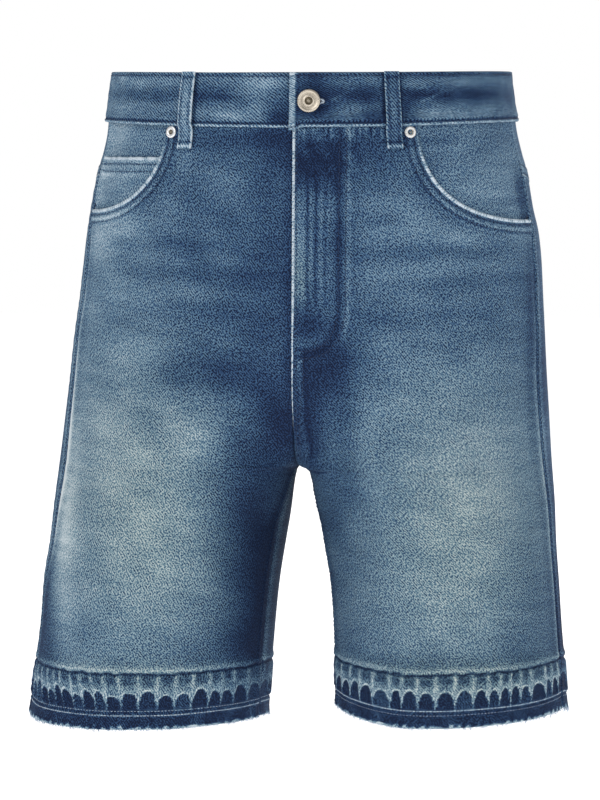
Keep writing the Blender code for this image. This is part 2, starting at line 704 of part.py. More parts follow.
def facing_grid(side):
    """Across and height of the pocket facing: it follows the mouth, a little outside it."""
    share = (0.0,) + MOUTH_SHARES
    low_across, low_z = mouth_line(side, share, mouth_start(side) - FACING_REACH,
                                   MOUTH_FOOT[side] - FACING_FOOT)
    top = panel_top(side, FRONT, low_across)
    low_z = np.minimum(low_z, top - FACING_HEIGHT)
    share = np.linspace(0, 1, 7)[:, None]
    return low_across[None, :] + 0 * share, mix(low_z[None, :], top[None, :], share)


def facing_lift(side):
    """The facing lies under the front, and on the coin pocket's side under that too."""
    plies = 2 if side < 0 else 1
    return -plies * (CLOTH + PLY_GAP)


def pocket_facing(name, side, made_of):
    across, z = facing_grid(side)
    outer, inner = layer(side, FRONT, across, climb_at(FRONT, z), facing_lift(side), CLOTH)
    return patch_object(name, outer, inner, made_of)


def coin_pocket(name, side, made_of):
    start = mouth_start(side)
    across = mix(start, 1.0, np.linspace(*COIN_ACROSS, 8))[None, :]
    z = mix(COIN_FOOT, COIN_TOP, np.linspace(0, 1, 6))[:, None]
    climb = climb_at(FRONT, z) + 0 * across
    outer, inner = layer(side, FRONT, across + 0 * z, climb, -(CLOTH + PLY_GAP), CLOTH)
    return patch_object(name, outer, inner, made_of)


def back_pocket(name, side, made_of):
    """A patch with a pointed foot, laid on the back and moved out."""
    share = np.linspace(0, 1, BACK_POCKET_CELLS[1] + 1)[:, None]
    place = np.linspace(0, 1, BACK_POCKET_CELLS[0] + 1)
    spread = 1 - (1 - place) ** 1.3
    inner_x = mix(BACK_POCKET_FOOT_X[0], BACK_POCKET_TOP_X[0], share)
    outer_x = mix(BACK_POCKET_FOOT_X[1], BACK_POCKET_TOP_X[1], share)
    foot = BACK_POCKET_FOOT - BACK_POCKET_POINT * (1 - np.abs(2 * place - 1))
    z = mix(foot, mix(*BACK_POCKET_TOP, place), share)
    x = side * mix(inner_x, outer_x, spread)
    across, climb = find_place(side, BACK, x, z)
    lift = BACK_POCKET_GAP + CLOTH
    outer, inner = layer(side, BACK, across, climb, lift, CLOTH)
    return patch_object(name, outer, inner, made_of)


# ================================================================ waistband and loops
def waist_point(angle, z):
    """Panels' face at an angle in degrees from the front, positive to the wearer's left."""
    angle = np.asarray(angle, dtype=float)
    left = np.stack(hip_ring(1, np.radians(np.abs(angle)), z), -1)
    right = np.stack(hip_ring(-1, np.radians(np.abs(angle)), z), -1)
    flat = np.where((angle >= 0)[..., None], left, right)
    return np.concatenate([flat, (z + 0 * angle)[..., None]], axis=-1)


def waist_normal(angle, z):
    step = 0.3
    around = waist_point(angle + step, z) - waist_point(angle - step, z)
    upward = waist_point(angle, z + 0.5) - waist_point(angle, z - 0.5)
    out = np.cross(around, upward)
    return out / np.linalg.norm(out, axis=-1, keepdims=True)


def ring_angle(x, z):
    """Angle in degrees of a place x on the front of the hips, positive to the wearer's left."""
    x = np.asarray(x, dtype=float)
    z = np.asarray(z, dtype=float)
    away = x - centre_x(z)
    left = smooth_table(HIPS, HIP_COLUMNS, "left", z) - centre_x(z)
    right = centre_x(z) - smooth_table(HIPS, HIP_COLUMNS, "right", z)
    share = np.abs(away) / np.where(away > 0, left, right)
    return np.sign(away) * np.degrees(np.arcsin(share ** (HIP_SQUARENESS / 2)))


def band_angle(x):
    """Angle of a place x on the front of the waistband."""
    return float(ring_angle(x, BUTTON_Z))


def fly_piece(name, x_range, top, foot, lift, made_of):
    """A plain strip behind the fly; its foot curves up towards its outer edge."""
    x = np.linspace(*x_range, 6)
    bend = ((x - x_range[0]) / (x_range[1] - x_range[0])) ** 3
    share = np.linspace(0, 1, 9)[:, None]
    z = mix(foot + FLY_FOOT_CURVE * bend, top, share)
    angle = ring_angle(x + 0 * z, z)
    outer = waist_point(angle, z) + waist_normal(angle, z) * lift
    return patch_object(name, outer, outer - waist_normal(angle, z) * CLOTH, made_of)


def band_lift(turn, z):
    """How far the waistband's face stands outside the panels' face, at a ring angle in radians."""
    down = (band_top(turn) - z) / (band_top(turn) - band_foot(turn))
    return BAND_LIFT + BAND_FLARE * np.clip(down, 0, 1) ** 3


def waistband(name, made_of):
    """A double band, its wearer's left end lapped over the right one."""
    start = band_angle(LAP_UNDER_X)
    stop = band_angle(LAP_END_X) - 360.0
    count = int(round((start - stop) / BAND_STEP)) + 1
    run = np.linspace(start, stop, count)
    angle = (run + 180.0) % 360.0 - 180.0
    heights = np.linspace(0, 1, BAND_ROWS + 1)[:, None]
    turn = np.radians(angle)[None, :]
    z = mix(band_foot(turn) + EDGE, band_top(turn), heights)
    angle = angle[None, :] + 0 * z
    base = waist_point(angle, z)
    out = waist_normal(angle, z)
    length = WAIST_RUN * np.abs(run - run[0])
    length_left = WAIST_RUN * np.abs(run - run[-1])
    lap_line = WAIST_RUN * (start - band_angle(LAP_END_X))
    under = 1 - smoothstep((length - lap_line) / LAP_FADE)
    over = 1 - smoothstep((length_left - lap_line) / LAP_FADE)
    offset = band_lift(turn, z) + LAP_OFFSET * (over - under)[None, :]
    outer = base + out * offset[..., None]
    inner = outer - out * BAND_THICKNESS
    return patch_object(name, outer, inner, made_of)


def lap_offset(angle):
    """Offset of the waistband's face at an angle that only one ply of it covers."""
    lap_line = WAIST_RUN * (band_angle(LAP_UNDER_X) - band_angle(LAP_END_X))
    from_start = WAIST_RUN * (band_angle(LAP_UNDER_X) - angle)
    from_stop = WAIST_RUN * (angle - band_angle(LAP_END_X))
    if angle >= 0:
        return LAP_OFFSET * float(1 - smoothstep((from_stop - lap_line) / LAP_FADE))
    return -LAP_OFFSET * float(1 - smoothstep((from_start - lap_line) / LAP_FADE))


def belt_loop(name, angle, made_of):
    """A folded strip over the waistband, bulged in the middle and tacked at both ends."""
    half = LOOP_WIDTH / 2 / WAIST_RUN
    across = np.linspace(-half, half, 3)[None, :]
    z = np.array(LOOP_ROWS)[:, None]
    turn = math.radians(angle)
    on_band = smoothstep((z - band_foot(turn) + 4.0) / 5.0)
    middle = np.clip((z - LOOP_FOOT) / (LOOP_TOP - LOOP_FOOT), 0, 1)
    bulge = LOOP_BULGE * np.sin(np.pi * middle) ** 2
    lift = LOOP_GAP + (band_lift(turn, z) + lap_offset(angle)) * on_band + bulge
    spot = (angle + across + 180.0) % 360.0 - 180.0
    z = z + 0 * across
    base = waist_point(spot + 0 * z, z)
    out = waist_normal(np.full_like(z, angle), z)
    inner = base + out * lift[..., None]
    return patch_object(name, inner + out * LOOP_THICKNESS, inner, made_of)


# ================================================================ metal
def button(name, made_of):
    """A shank button: a rolled rim round a dished middle, on the lapped waistband."""
    angle = band_angle(BUTTON_X)
    base = waist_point(np.array([angle]), np.array([BUTTON_Z]))[0]
    normal = waist_normal(np.array([angle]), np.array([BUTTON_Z]))[0]
    lift = band_lift(math.radians(angle), BUTTON_Z) + LAP_OFFSET + METAL_GAP
    seat = base + normal * lift
    r = BUTTON_RADIUS
    profile = ((0.0, 0.0), (3.2, 0.0), (3.2, 1.2), (r - 1.4, 1.2), (r - 0.3, 1.8), (r, 2.7),
               (r - 0.5, 3.6), (r - 1.6, 4.1), (r - 2.8, 3.8), (r - 3.9, 3.2), (3.0, 3.0),
               (2.6, 3.3), (1.9, 3.2), (1.3, 2.4), (0.0, 2.2))
    return turned_object(name, profile, seat, normal, BUTTON_STEPS, made_of)


def rivet(name, side, made_of):
    """A domed rivet with a pierced middle, at the corner of the pocket mouth."""
    angle = np.array([side * RIVET_ANGLES[side]])
    z = np.array([RIVET_Z])
    normal = waist_normal(angle, z)[0]
    seat = waist_point(angle, z)[0] + normal * METAL_GAP
    r = RIVET_RADIUS
    profile = ((0.0, 0.0), (r, 0.0), (r, 0.5), (r - 0.6, 1.2), (r - 1.6, 1.5), (r - 2.4, 1.2),
               (1.5, 1.1), (1.2, 0.7), (0.0, 0.6))
    return turned_object(name, profile, seat, normal, RIVET_STEPS, made_of)


# ================================================================ assembly
def build():
    for old in list(bpy.data.objects):
        bpy.data.objects.remove(old)
    denim = material("denim", (0.09, 0.16, 0.25), 0.9, 0.0)
    denim_dark = material("denim_dark", (0.04, 0.08, 0.16), 0.9, 0.0)
    nickel = material("nickel", (0.62, 0.60, 0.55), 0.35, 1.0)

    for side, name in ((1, "left"), (-1, "right")):
        panel(f"front_{name}", side, FRONT, denim)
        panel(f"back_{name}", side, BACK, denim)
        yoke(f"yoke_{name}", side, denim)
        back_pocket(f"back_pocket_{name}", side, denim)
        pocket_facing(f"pocket_facing_{name}", side, denim)
        rivet(f"rivet_{name}", side, nickel)
    coin_pocket("coin_pocket", -1, denim)
    fly_top = BAND_FOOT_FRONT - 1.5
    fly_piece("fly_facing", FLY_FACING_REACH, fly_top, FLY_FACING_FOOT, FLY_FACING_LIFT, denim_dark)
    fly_piece("fly_shield", FLY_SHIELD_REACH, fly_top, FLY_SHIELD_FOOT, FLY_SHIELD_LIFT, denim_dark)
    waistband("waistband", denim)
    for number, angle in enumerate(LOOP_ANGLES, 1):
        belt_loop(f"belt_loop_{number}", angle, denim)
    button("waist_button", nickel)


build()
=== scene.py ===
# %% [markdown]
# # Denim shorts, filled out as if worn
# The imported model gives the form: four leg panels, a lapped waistband, pockets, loops and metal.
# This lesson dresses it. Each cloth piece is worked out again from the same sizes on a fine grid,
# so that puckers, an old hem fold and the wash of the denim can be put on every millimetre of it.

# %% Load the frame
import math

import bpy
import numpy as np
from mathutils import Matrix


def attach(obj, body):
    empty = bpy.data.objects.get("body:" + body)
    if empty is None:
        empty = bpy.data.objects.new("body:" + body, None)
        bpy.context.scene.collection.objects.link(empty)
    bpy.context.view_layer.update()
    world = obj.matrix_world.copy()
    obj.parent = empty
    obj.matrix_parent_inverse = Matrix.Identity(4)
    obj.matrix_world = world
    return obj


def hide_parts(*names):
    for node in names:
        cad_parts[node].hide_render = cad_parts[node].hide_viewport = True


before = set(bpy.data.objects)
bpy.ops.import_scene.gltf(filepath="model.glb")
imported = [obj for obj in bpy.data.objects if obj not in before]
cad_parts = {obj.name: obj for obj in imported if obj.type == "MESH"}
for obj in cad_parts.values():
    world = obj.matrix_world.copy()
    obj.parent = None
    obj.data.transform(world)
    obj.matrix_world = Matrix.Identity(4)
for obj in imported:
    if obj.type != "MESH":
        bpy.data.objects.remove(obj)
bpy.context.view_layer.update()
MM = 0.001
FRONT = "front"
BACK = "back"

# %% [markdown]
# ## Small tools for curves
# A garment's outline is a few widths at a few heights. They could be joined by straight lines,
# which would show as kinks, or by a free spline, which overshoots. A monotone cubic curve has
# neither fault, so every table below is read through one.


# %% Reading a table along a smooth curve
def column(rows, names, name):
    """One named column of a short table, as an array."""
    return np.array([row[names.index(name)] for row in rows], dtype=float)


def rows_of(names, rows):
    """A table's rows as dictionaries."""
    return [dict(zip(names, row)) for row in rows]


def smooth_table(rows, names, name, height):
    """Cubic Hermite curve through the rows; a tangent is the harmonic mean of its two slopes."""
    z = column(rows, names, names[0])[::-1]
    value = column(rows, names, name)[::-1]
    step = np.diff(z)
    slope = np.diff(value) / step
    tangent = np.zeros_like(value)
    same = slope[:-1] * slope[1:] > 0
    total = slope[:-1] + slope[1:]
    tangent[1:-1] = np.where(same, 2 * slope[:-1] * slope[1:] / np.where(same, total, 1.0), 0.0)
    tangent[0] = slope[0]
    tangent[-1] = slope[-1]
    at = np.clip(np.asarray(height, dtype=float), z[0], z[-1])
    cell = np.clip(np.searchsorted(z, at) - 1, 0, len(step) - 1)
    t = (at - z[cell]) / step[cell]
    low = value[cell] * (1 + 2 * t) * (1 - t) ** 2 + value[cell + 1] * t ** 2 * (3 - 2 * t)
    bend = tangent[cell] * t * (1 - t) ** 2 - tangent[cell + 1] * t ** 2 * (1 - t)
    return low + bend * step[cell]


def smoothstep(t):
    """3t² - 2t³ between 0 and 1, level outside."""
    t = np.clip(t, 0.0, 1.0)
    return t * t * (3 - 2 * t)


def mix(a, b, t):
    """a at t 0, b at t 1, on a straight line."""
    return a + (b - a) * t


def bell(t):
    """exp(-t²): 1 at 0, nearly nothing past 2."""
    return np.exp(-t ** 2)


def bells(t, places, width):
    """A bell at each of the places."""
    return sum(bell((t - place) / width) for place in places)


def ripples(t):
    """A sine that runs from 0 to 1."""
    return 0.5 + 0.5 * np.sin(t)


def wrapped(angle):
    """Degrees from -180 to 180."""
    return (angle + 180.0) % 360.0 - 180.0


def path_length(path):
    """Distance of each point of a path from its start, along the path."""
    return np.concatenate([[0], np.cumsum(np.linalg.norm(np.diff(path, axis=0), axis=-1))])


def waves(u, v, length, seed, count=9):
    """Smooth noise from -1 to 1: a sum of plane waves in seeded directions, about length apart."""
    rng = np.random.default_rng(seed)
    total = 0.0
    for _ in range(count):
        turn = rng.uniform(0, 2 * math.pi)
        pace = 2 * math.pi / (length * rng.uniform(0.7, 1.6))
        total = total + np.sin(pace * (u * math.cos(turn) + v * math.sin(turn))
                               + rng.uniform(0, 2 * math.pi))
    return total / math.sqrt(count) / 1.4


# %% [markdown]
# ## The form under the cloth
# One ring round the hips turns into a ring round each thigh at the crotch. Each ring is a
# superellipse: sine and cosine raised to a power, a little squarer than an ellipse. The four
# panels share the rings, so neighbours meet at a seam without any fitting. The sizes are the
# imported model's own, in millimetres, so the dressed pieces lie where its solids lie.

# %% Sizes of the form
CLOTH = 1.3
PLY_GAP = 0.6
EDGE = 0.15
EDGE_ANGLE = 0.12
CROTCH = -291.5
HEM = {1: -479.5, -1: -485.5}
CREASE = {1: 40.0, -1: 42.0}
HEM_STITCH = {1: 12.0, -1: 13.0}
HEM_LINE_COLUMNS = ("height", "left", "right")
HEM_LINE = (
    (1, 7.5, 3.4),
    (0.87, 5.5, 0.8),
    (0.64, 2.5, 0),
    (0.42, 0, 1.2),
    (0.19, 4.5, 3),
    (0, 9, 3.6),
)
BACK_HEM_FADE = 0.15
RISE = {FRONT: 85.0, BACK: 120.0}
HIP_CLIMB = 100.0
BLEND_HEIGHT = 110.0
SPREAD_FROM = -200.0
SPREAD_HEIGHT = 72.0
HIP_COLUMNS = ("height", "right", "left", "front", "back")
HIPS = (
    (0, -147, 148.6, -106.5, 106),
    (-20, -150, 150.6, -108, 108.8),
    (-44, -151.6, 153.6, -110, 112),
    (-80, -160, 162.2, -113.5, 118),
    (-102, -164.5, 165.9, -115.3, 121.4),
    (-122, -168, 170.3, -116.6, 124.2),
    (-150, -171.4, 173.2, -117.6, 127),
    (-180, -175.2, 174.9, -118, 128),
    (-210, -179.1, 176, -117.8, 126.5),
    (-240, -182.8, 177.6, -116.5, 122.5),
    (-291.5, -188.9, 180.8, -113, 112),
)
LEG_COLUMNS = ("height", "outer", "inner", "front", "back")
LEGS = {
    1: (
        (-170, 174.6, -2.5, -114, 122),
        (-210, 176, -2.5, -114, 118),
        (-250, 178.2, -2.5, -113.5, 113),
        (-291.5, 180.8, -2.5, -112, 108),
        (-293, 180.9, 2, -111.9, 107.9),
        (-296, 181.1, 4.6, -111.7, 107.6),
        (-302, 181.5, 6.4, -111.2, 107.2),
        (-310, 182.1, 7.4, -110.8, 106.4),
        (-321, 182.8, 8.4, -110, 105),
        (-336, 183.5, 10.6, -108.6, 103),
        (-351, 184.3, 13, -107, 101),
        (-381, 186.6, 17.8, -104, 98),
        (-411, 188.8, 19.8, -100, 95),
        (-441, 191.4, 20.5, -96, 93),
        (-484, 194.8, 20.6, -92, 91),
    ),
    -1: (
        (-170, -174, -2.5, -114, 122),
        (-210, -179.1, -2.5, -114, 118),
        (-250, -183.9, -2.5, -113.5, 113),
        (-291.5, -188.9, -2.5, -112, 108),
        (-293, -189.1, -5.6, -111.9, 107.9),
        (-296, -189.4, -7.6, -111.7, 107.6),
        (-302, -190.1, -9.4, -111.2, 107.2),
        (-310, -191.1, -11.4, -110.8, 106.4),
        (-321, -192.4, -13.8, -110, 105),
        (-336, -194, -16.8, -108.6, 103),
        (-351, -195.8, -19.4, -107, 101),
        (-381, -200.4, -24.2, -104, 98),
        (-411, -203.5, -27.3, -100, 95),
        (-441, -207.2, -30, -96, 93),
        (-484, -213.2, -33, -92, 91),
    ),
}
HIP_SQUARENESS = 2.2
LEG_SQUARENESS = 2.15
SEAM_COLUMNS = ("height", "right", "left")
SIDE_SEAMS = (
    (-36, 16, 8),
    (-104, 18, 9),
    (-165, 24, 13),
    (-235, 29, 17.5),
    (-300, 32, 14),
    (-350, 28, 10.5),
    (-405, 20.5, 9.5),
    (-480, 17, 12.5),
)
CENTRE_COLUMNS = ("height", "seat_seam", "fly_shift")
CENTRE_LINE = (
    (0, 0, 3.6),
    (-120, 0, 4.4),
    (-210, -0.6, 4.6),
    (-250, -1.2, 3.6),
    (-275, -1.9, 1.8),
    (-291.5, -2.5, 0),
)
INSEAM_FORWARD = 14.0
INSEAM_SETTLE = 50.0
CROTCH_Y = -28.0
LEG_AXIS_Y = -3.0


# %% The rings and the panel face
def rounded(value, squareness):
    """A sine or cosine bent towards a squarer ring: its size to the power 2 / squareness."""
    return np.sign(value) * np.abs(value) ** (2.0 / squareness)


def ring(angle, side, middle_x, half_width, middle_in, middle_out, front, back, squareness):
    """Superellipse point: x is half_width times the bent sine, y is the depth times the cosine."""
    across = rounded(np.sin(angle), squareness)
    along = rounded(np.cos(angle), squareness)
    middle = (middle_in + middle_out) / 2
    y_mid = mix(middle_in, middle_out, (1 + across) / 2)
    depth = np.where(along > 0, middle - front, back - middle)
    return middle_x + side * half_width * across, y_mid - depth * along


def side_name(side):
    return "left" if side > 0 else "right"


def seam_angle(side, z):
    """Angle of the side seam round the ring, from the front, in degrees."""
    return 90.0 - smooth_table(SIDE_SEAMS, SEAM_COLUMNS, side_name(side), z)


def centre_x(z):
    return smooth_table(CENTRE_LINE, CENTRE_COLUMNS, "seat_seam", z)


def fly_shift(z):
    return smooth_table(CENTRE_LINE, CENTRE_COLUMNS, "fly_shift", z)


def hip_ring(side, angle, z):
    middle = centre_x(z)
    reach = np.abs(smooth_table(HIPS, HIP_COLUMNS, side_name(side), z) - middle)
    front = smooth_table(HIPS, HIP_COLUMNS, "front", z)
    back = smooth_table(HIPS, HIP_COLUMNS, "back", z)
    return ring(angle, side, middle, reach, 0.0, 0.0, front, back, HIP_SQUARENESS)


def leg_ring(side, angle, z):
    outer, inner, front, back = (smooth_table(LEGS[side], LEG_COLUMNS, name, z)
                                 for name in LEG_COLUMNS[1:])
    inner = np.where(z >= CROTCH, centre_x(z), inner)
    inner_y = mix(CROTCH_Y, LEG_AXIS_Y, smoothstep((CROTCH - z) / INSEAM_SETTLE))
    return ring(angle, side, (outer + inner) / 2, np.abs(outer - inner) / 2, inner_y, 0.0,
                front, back, LEG_SQUARENESS)


def leg_angle(side, face, across, z):
    """Ring angle on the leg: the inseam at across 0, the side seam at across 1."""
    outer = seam_angle(side, z)
    inner = -90.0 + INSEAM_FORWARD * smoothstep((CROTCH - z) / INSEAM_SETTLE)
    if face == FRONT:
        return np.radians(mix(inner + EDGE_ANGLE, outer - EDGE_ANGLE, across))
    return np.radians(mix(inner - EDGE_ANGLE, outer + EDGE_ANGLE - 360.0, across))


def hip_angle(side, face, across, z, leg_x, leg_turn):
    """Ring angle on the hips: the leg point's own x low down, evenly spread columns higher up."""
    middle = centre_x(z)
    outer_x = smooth_table(HIPS, HIP_COLUMNS, side_name(side), z)
    share = np.clip((leg_x - middle) / (outer_x - middle), 0, 1)
    same_x = np.degrees(np.arcsin(share ** (HIP_SQUARENESS / 2)))
    same_x = np.where(np.cos(leg_turn) < 0, 180.0 - same_x, same_x)
    outer = seam_angle(side, z)
    if face == FRONT:
        even = mix(0.0, outer - EDGE_ANGLE, across)
    else:
        even = mix(180.0, outer + EDGE_ANGLE, across)
    return np.radians(mix(same_x, even, smoothstep((z - SPREAD_FROM) / SPREAD_HEIGHT)))


def surface(side, face, across, climb):
    """Panel face in millimetres, from the hem (climb 0) over the crotch (1) and rise (2) upwards.

    On the rise a row starts on a quarter ellipse at the middle seam and levels out sideways.
    There the point is a mix of the leg ring's and the hip ring's, by the sine of the turn.
    """
    turn = np.clip(climb - 1, 0, 1)
    leg_z = mix(HEM[side], CROTCH, np.clip(climb, None, 1))
    seam_z = RISE[face] * (1 - np.cos(turn * math.pi / 2))
    side_z = RISE[face] * turn
    above = np.clip(climb - 2, 0, None) * HIP_CLIMB
    z = leg_z + mix(seam_z, side_z, smoothstep(across / 0.45)) + above
    leg_turn = leg_angle(side, face, across, z)
    leg_x, leg_y = leg_ring(side, leg_turn, z)
    hip_x, hip_y = hip_ring(side, hip_angle(side, face, across, z, leg_x, leg_turn), z)
    outer_share = smoothstep((z - CROTCH) / BLEND_HEIGHT)
    share = mix(np.sin(turn * math.pi / 2), outer_share, smoothstep(across / 0.55))
    x = mix(leg_x, hip_x, share)
    y = mix(leg_y, hip_y, share)
    if face == FRONT:
        x = x + fly_shift(z) * (1 - smoothstep(across / 0.6))
    return np.stack([x, y, z + 0 * x], axis=-1)


def climb_at(face, z):
    """climb of a height above the rise."""
    return 2 + (z - CROTCH - RISE[face]) / HIP_CLIMB


def unit(vectors):
    return vectors / np.linalg.norm(vectors, axis=-1, keepdims=True)


def normals(side, face, across, climb):
    """Outward unit vectors: the cross product of the slopes across and up."""
    step = 0.002
    lift = 0.005
    across = np.clip(across, 0.012, 1.0)
    d_across = surface(side, face, across + step, climb) - surface(side, face, across - step, climb)
    d_climb = surface(side, face, across, climb + lift) - surface(side, face, across, climb - lift)
    return unit(np.cross(d_across, d_climb) * side * (1 if face == FRONT else -1))


def find_place(side, face, x, z):
    """across and climb of the panel's point at a given x and height, by repeated correction."""
    leg = CROTCH - HEM[side]
    across = np.clip(np.abs(x) / 190.0, 0.05, 1.0) + 0 * z
    climb = np.where(z > CROTCH, 1 + (z - CROTCH) / RISE[face], (z - HEM[side]) / leg) + 0 * x
    for _ in range(90):
        point = surface(side, face, across, climb)
        ahead = surface(side, face, across + 0.01, climb)
        slope = np.maximum(side * (ahead[..., 0] - point[..., 0]) / 0.01, 60.0)
        across = np.clip(across + 0.8 * side * (x - point[..., 0]) / slope, 0.0, 1.0)
        climb = climb + 0.7 * (z - point[..., 2]) / leg
    return across, climb


probe = surface(1, FRONT, np.array([0.5]), np.array([0.5]))[0]
print("middle of the wearer's left thigh, mm:", probe.round(1))

# %% [markdown]
# ## Lines on the form
# The waistband's edges, the scooped pocket mouths, the yoke seam and the stitched fly are all
# lines on the same face. A pocket mouth is a square-shouldered quarter ellipse. Drawing it as
# a formula keeps the panel's edge, the rolled hem on it and its two rows of stitches parallel.

# %% Sizes of those lines
BAND_TOP_FRONT = -3.0
BAND_TOP_SIDE = -1.4
BAND_FOOT_SIDE = -38.0
BAND_FOOT_FRONT = -42.0
BAND_FOOT_BACK = -40.0
MOUTH_START_X = {1: 89.5, -1: 93.0}
MOUTH_FOOT = {1: -111.5, -1: -104.5}
MOUTH_SQUARENESS = 2.8
MOUTH_ROWS = (3.0, 8.4)     # distance of the stitch rows from the pocket mouth
FACING_REACH = 0.14
FACING_FOOT = 16.0
FACING_HEIGHT = 30.0
COIN_TOP = -65.0
COIN_FOOT = -106.0
COIN_ACROSS = (0.04, 0.93)
COIN_ROWS = (4.3, 9.6)      # stitch rows below its top
YOKE_FOOT_MIDDLE = -112.0
YOKE_FOOT_SIDE = -78.0
FLY_X = 38.5            # the stitched J runs down here
FLY_BEND = -166.0       # and bends from this height
FLY_FOOT = (9.0, -205.0)


# %% The lines themselves
def band_foot(angle):
    """Height of the waistband's lower edge: a side height plus a drop times cosine squared."""
    ahead = np.cos(angle)
    drop = np.where(ahead > 0, BAND_FOOT_FRONT - BAND_FOOT_SIDE, BAND_FOOT_BACK - BAND_FOOT_SIDE)
    return BAND_FOOT_SIDE + drop * ahead ** 2


def band_top(angle):
    """Height of its upper edge, 0 at the back."""
    ahead = np.cos(angle)
    return BAND_TOP_SIDE * (1 - ahead ** 2) + np.where(ahead > 0, BAND_TOP_FRONT, 0.0) * ahead ** 2


def panel_top(side, face, across):
    """Height of the seam under the waistband, on a front panel or a yoke."""
    outer = np.radians(seam_angle(side, BAND_FOOT_SIDE))
    middle = 0.0 if face == FRONT else math.pi
    return band_foot(mix(middle, outer, across)) - EDGE


def mouth_start(side):
    """Share of the front's width at which the pocket mouth leaves the waistband."""
    reach = np.abs(smooth_table(HIPS, HIP_COLUMNS, side_name(side), BAND_FOOT_FRONT))
    angle = np.arcsin((MOUTH_START_X[side] / reach) ** (HIP_SQUARENESS / 2))
    return float(np.degrees(angle) / seam_angle(side, BAND_FOOT_FRONT))


def mouth_line(side, share, start, foot):
    """Across and height along the mouth: (1 - share)^n + drop^n = 1, n the squareness."""
    top = panel_top(side, FRONT, start)
    drop = (1 - (1 - share) ** MOUTH_SQUARENESS) ** (1 / MOUTH_SQUARENESS)
    return start + (1 - start) * share, top + (foot - top) * drop


def mouth_shares(count):
    """Shares at equal turns of the quarter ellipse, closer together where it is steep."""
    turn = np.linspace(0, 1, count + 1) ** 1.3 * math.pi / 2
    return 1 - np.cos(turn) ** (2 / MOUTH_SQUARENESS)


def yoke_foot(across):
    return mix(YOKE_FOOT_MIDDLE, YOKE_FOOT_SIDE, across)


def fly_curve(shift, count=60):
    """x and height down the stitched J, shift mm outside it: a straight run, then a quarter oval."""
    turn = np.linspace(0, math.pi / 2, count)
    bend_x = FLY_FOOT[0] + (FLY_X + shift - FLY_FOOT[0]) * np.cos(turn) ** 0.8
    bend_z = FLY_BEND + (FLY_FOOT[1] - shift - FLY_BEND) * np.sin(turn) ** 0.8
    run = np.linspace(BAND_FOOT_FRONT - 1.0, FLY_BEND, count)[:-1]
    return np.concatenate([np.full(count - 1, FLY_X + shift), bend_x]), np.concatenate([run, bend_z])


def distance_to(points, line):
    """Distance from each point to the nearest vertex of a finely sampled line, in mm."""
    flat = points.reshape(-1, points.shape[-1])
    nearest = np.empty(len(flat))
    for start in range(0, len(flat), 8192):
        block = flat[start:start + 8192, None, :] - line[None, :, :]
        nearest[start:start + 8192] = np.sqrt((block ** 2).sum(-1).min(-1))
    return nearest.reshape(points.shape[:-1])


def mouth_points(side, count=260):
    across, z = mouth_line(side, mouth_shares(count), mouth_start(side), MOUTH_FOOT[side])
    return surface(side, FRONT, across, climb_at(FRONT, z))


print("pocket mouth, mm long:", path_length(mouth_points(1))[-1].round(1))

# %% [markdown]
# ## Folds, puckers and the let-down hem
# Cloth never lies as smooth as its pattern. Long folds are soft bells along a line. Where a seam
# was sewn and then washed, it shrank and drew the cloth into puckers a centimetre apart. This hem
# was once turned up, stitched and washed, and then let down again: its old fold is still a ridge,
# and the rope-like twist of the turned-up hem is pressed into the band under it. A displacement
# texture could do this, but the wear has to sit on exactly the same ridges, so both are made
# from one set of formulas.

# %% Long folds
FOLD_COLUMNS = ("face", "x0", "z0", "x1", "z1", "width", "push")
FOLDS = (
    (FRONT, -10, -276, -62, -296, 11, -3.4),
    (FRONT, -22, -258, -86, -270, 13, 1.6),
    (FRONT, 6, -268, 52, -286, 12, -2.2),
    (FRONT, -40, -312, -52, -420, 15, -1.8),
    (FRONT, 34, -305, 44, -400, 15, -1.3),
    (FRONT, -150, -160, -40, -178, 12, 1.2),
    (FRONT, -150, -190, -30, -206, 12, 1.3),
    (FRONT, 45, -176, 150, -166, 12, 1.1),
    (FRONT, 50, -205, 150, -196, 12, 1.2),
    (BACK, -8, -262, -46, -304, 12, -2.6),
    (BACK, 6, -262, 44, -304, 12, -2.6),
    (BACK, -40, -318, -110, -330, 14, 1.5),
    (BACK, 34, -318, 104, -330, 14, 1.5),
)
# Finer creases that only the dressed cloth has.
CREASES = (
    (FRONT, -14, -232, -120, -214, 6, -0.5),
    (FRONT, -20, -244, -96, -240, 5, -0.6),
    (FRONT, 14, -230, 96, -214, 6, -0.5),
    (FRONT, 12, -248, 84, -252, 5, -0.5),
    (FRONT, -160, -130, -70, -140, 7, -0.5),
    (FRONT, 60, -138, 158, -128, 7, -0.5),
    (FRONT, 4, -298, 30, -330, 6, -0.7),
    (FRONT, -16, -300, -30, -345, 6, -0.8),
    (FRONT, -176, -240, -168, -330, 8, -0.6),
    (FRONT, 168, -250, 172, -340, 8, -0.6),
    (BACK, -14, -250, -90, -296, 6, -0.8),
    (BACK, 14, -250, 90, -296, 6, -0.8),
    (BACK, -30, -342, -120, -352, 8, -0.7),
    (BACK, 30, -340, 122, -354, 8, -0.7),
    (BACK, -60, -372, -150, -366, 9, 0.6),
    (BACK, 56, -370, 146, -368, 9, 0.6),
)
FLY_STEP = 0.8
FLY_STEP_WIDTH = 0.28
PANEL_WIDTH = 205.0     # a panel's usual run from inseam to side seam


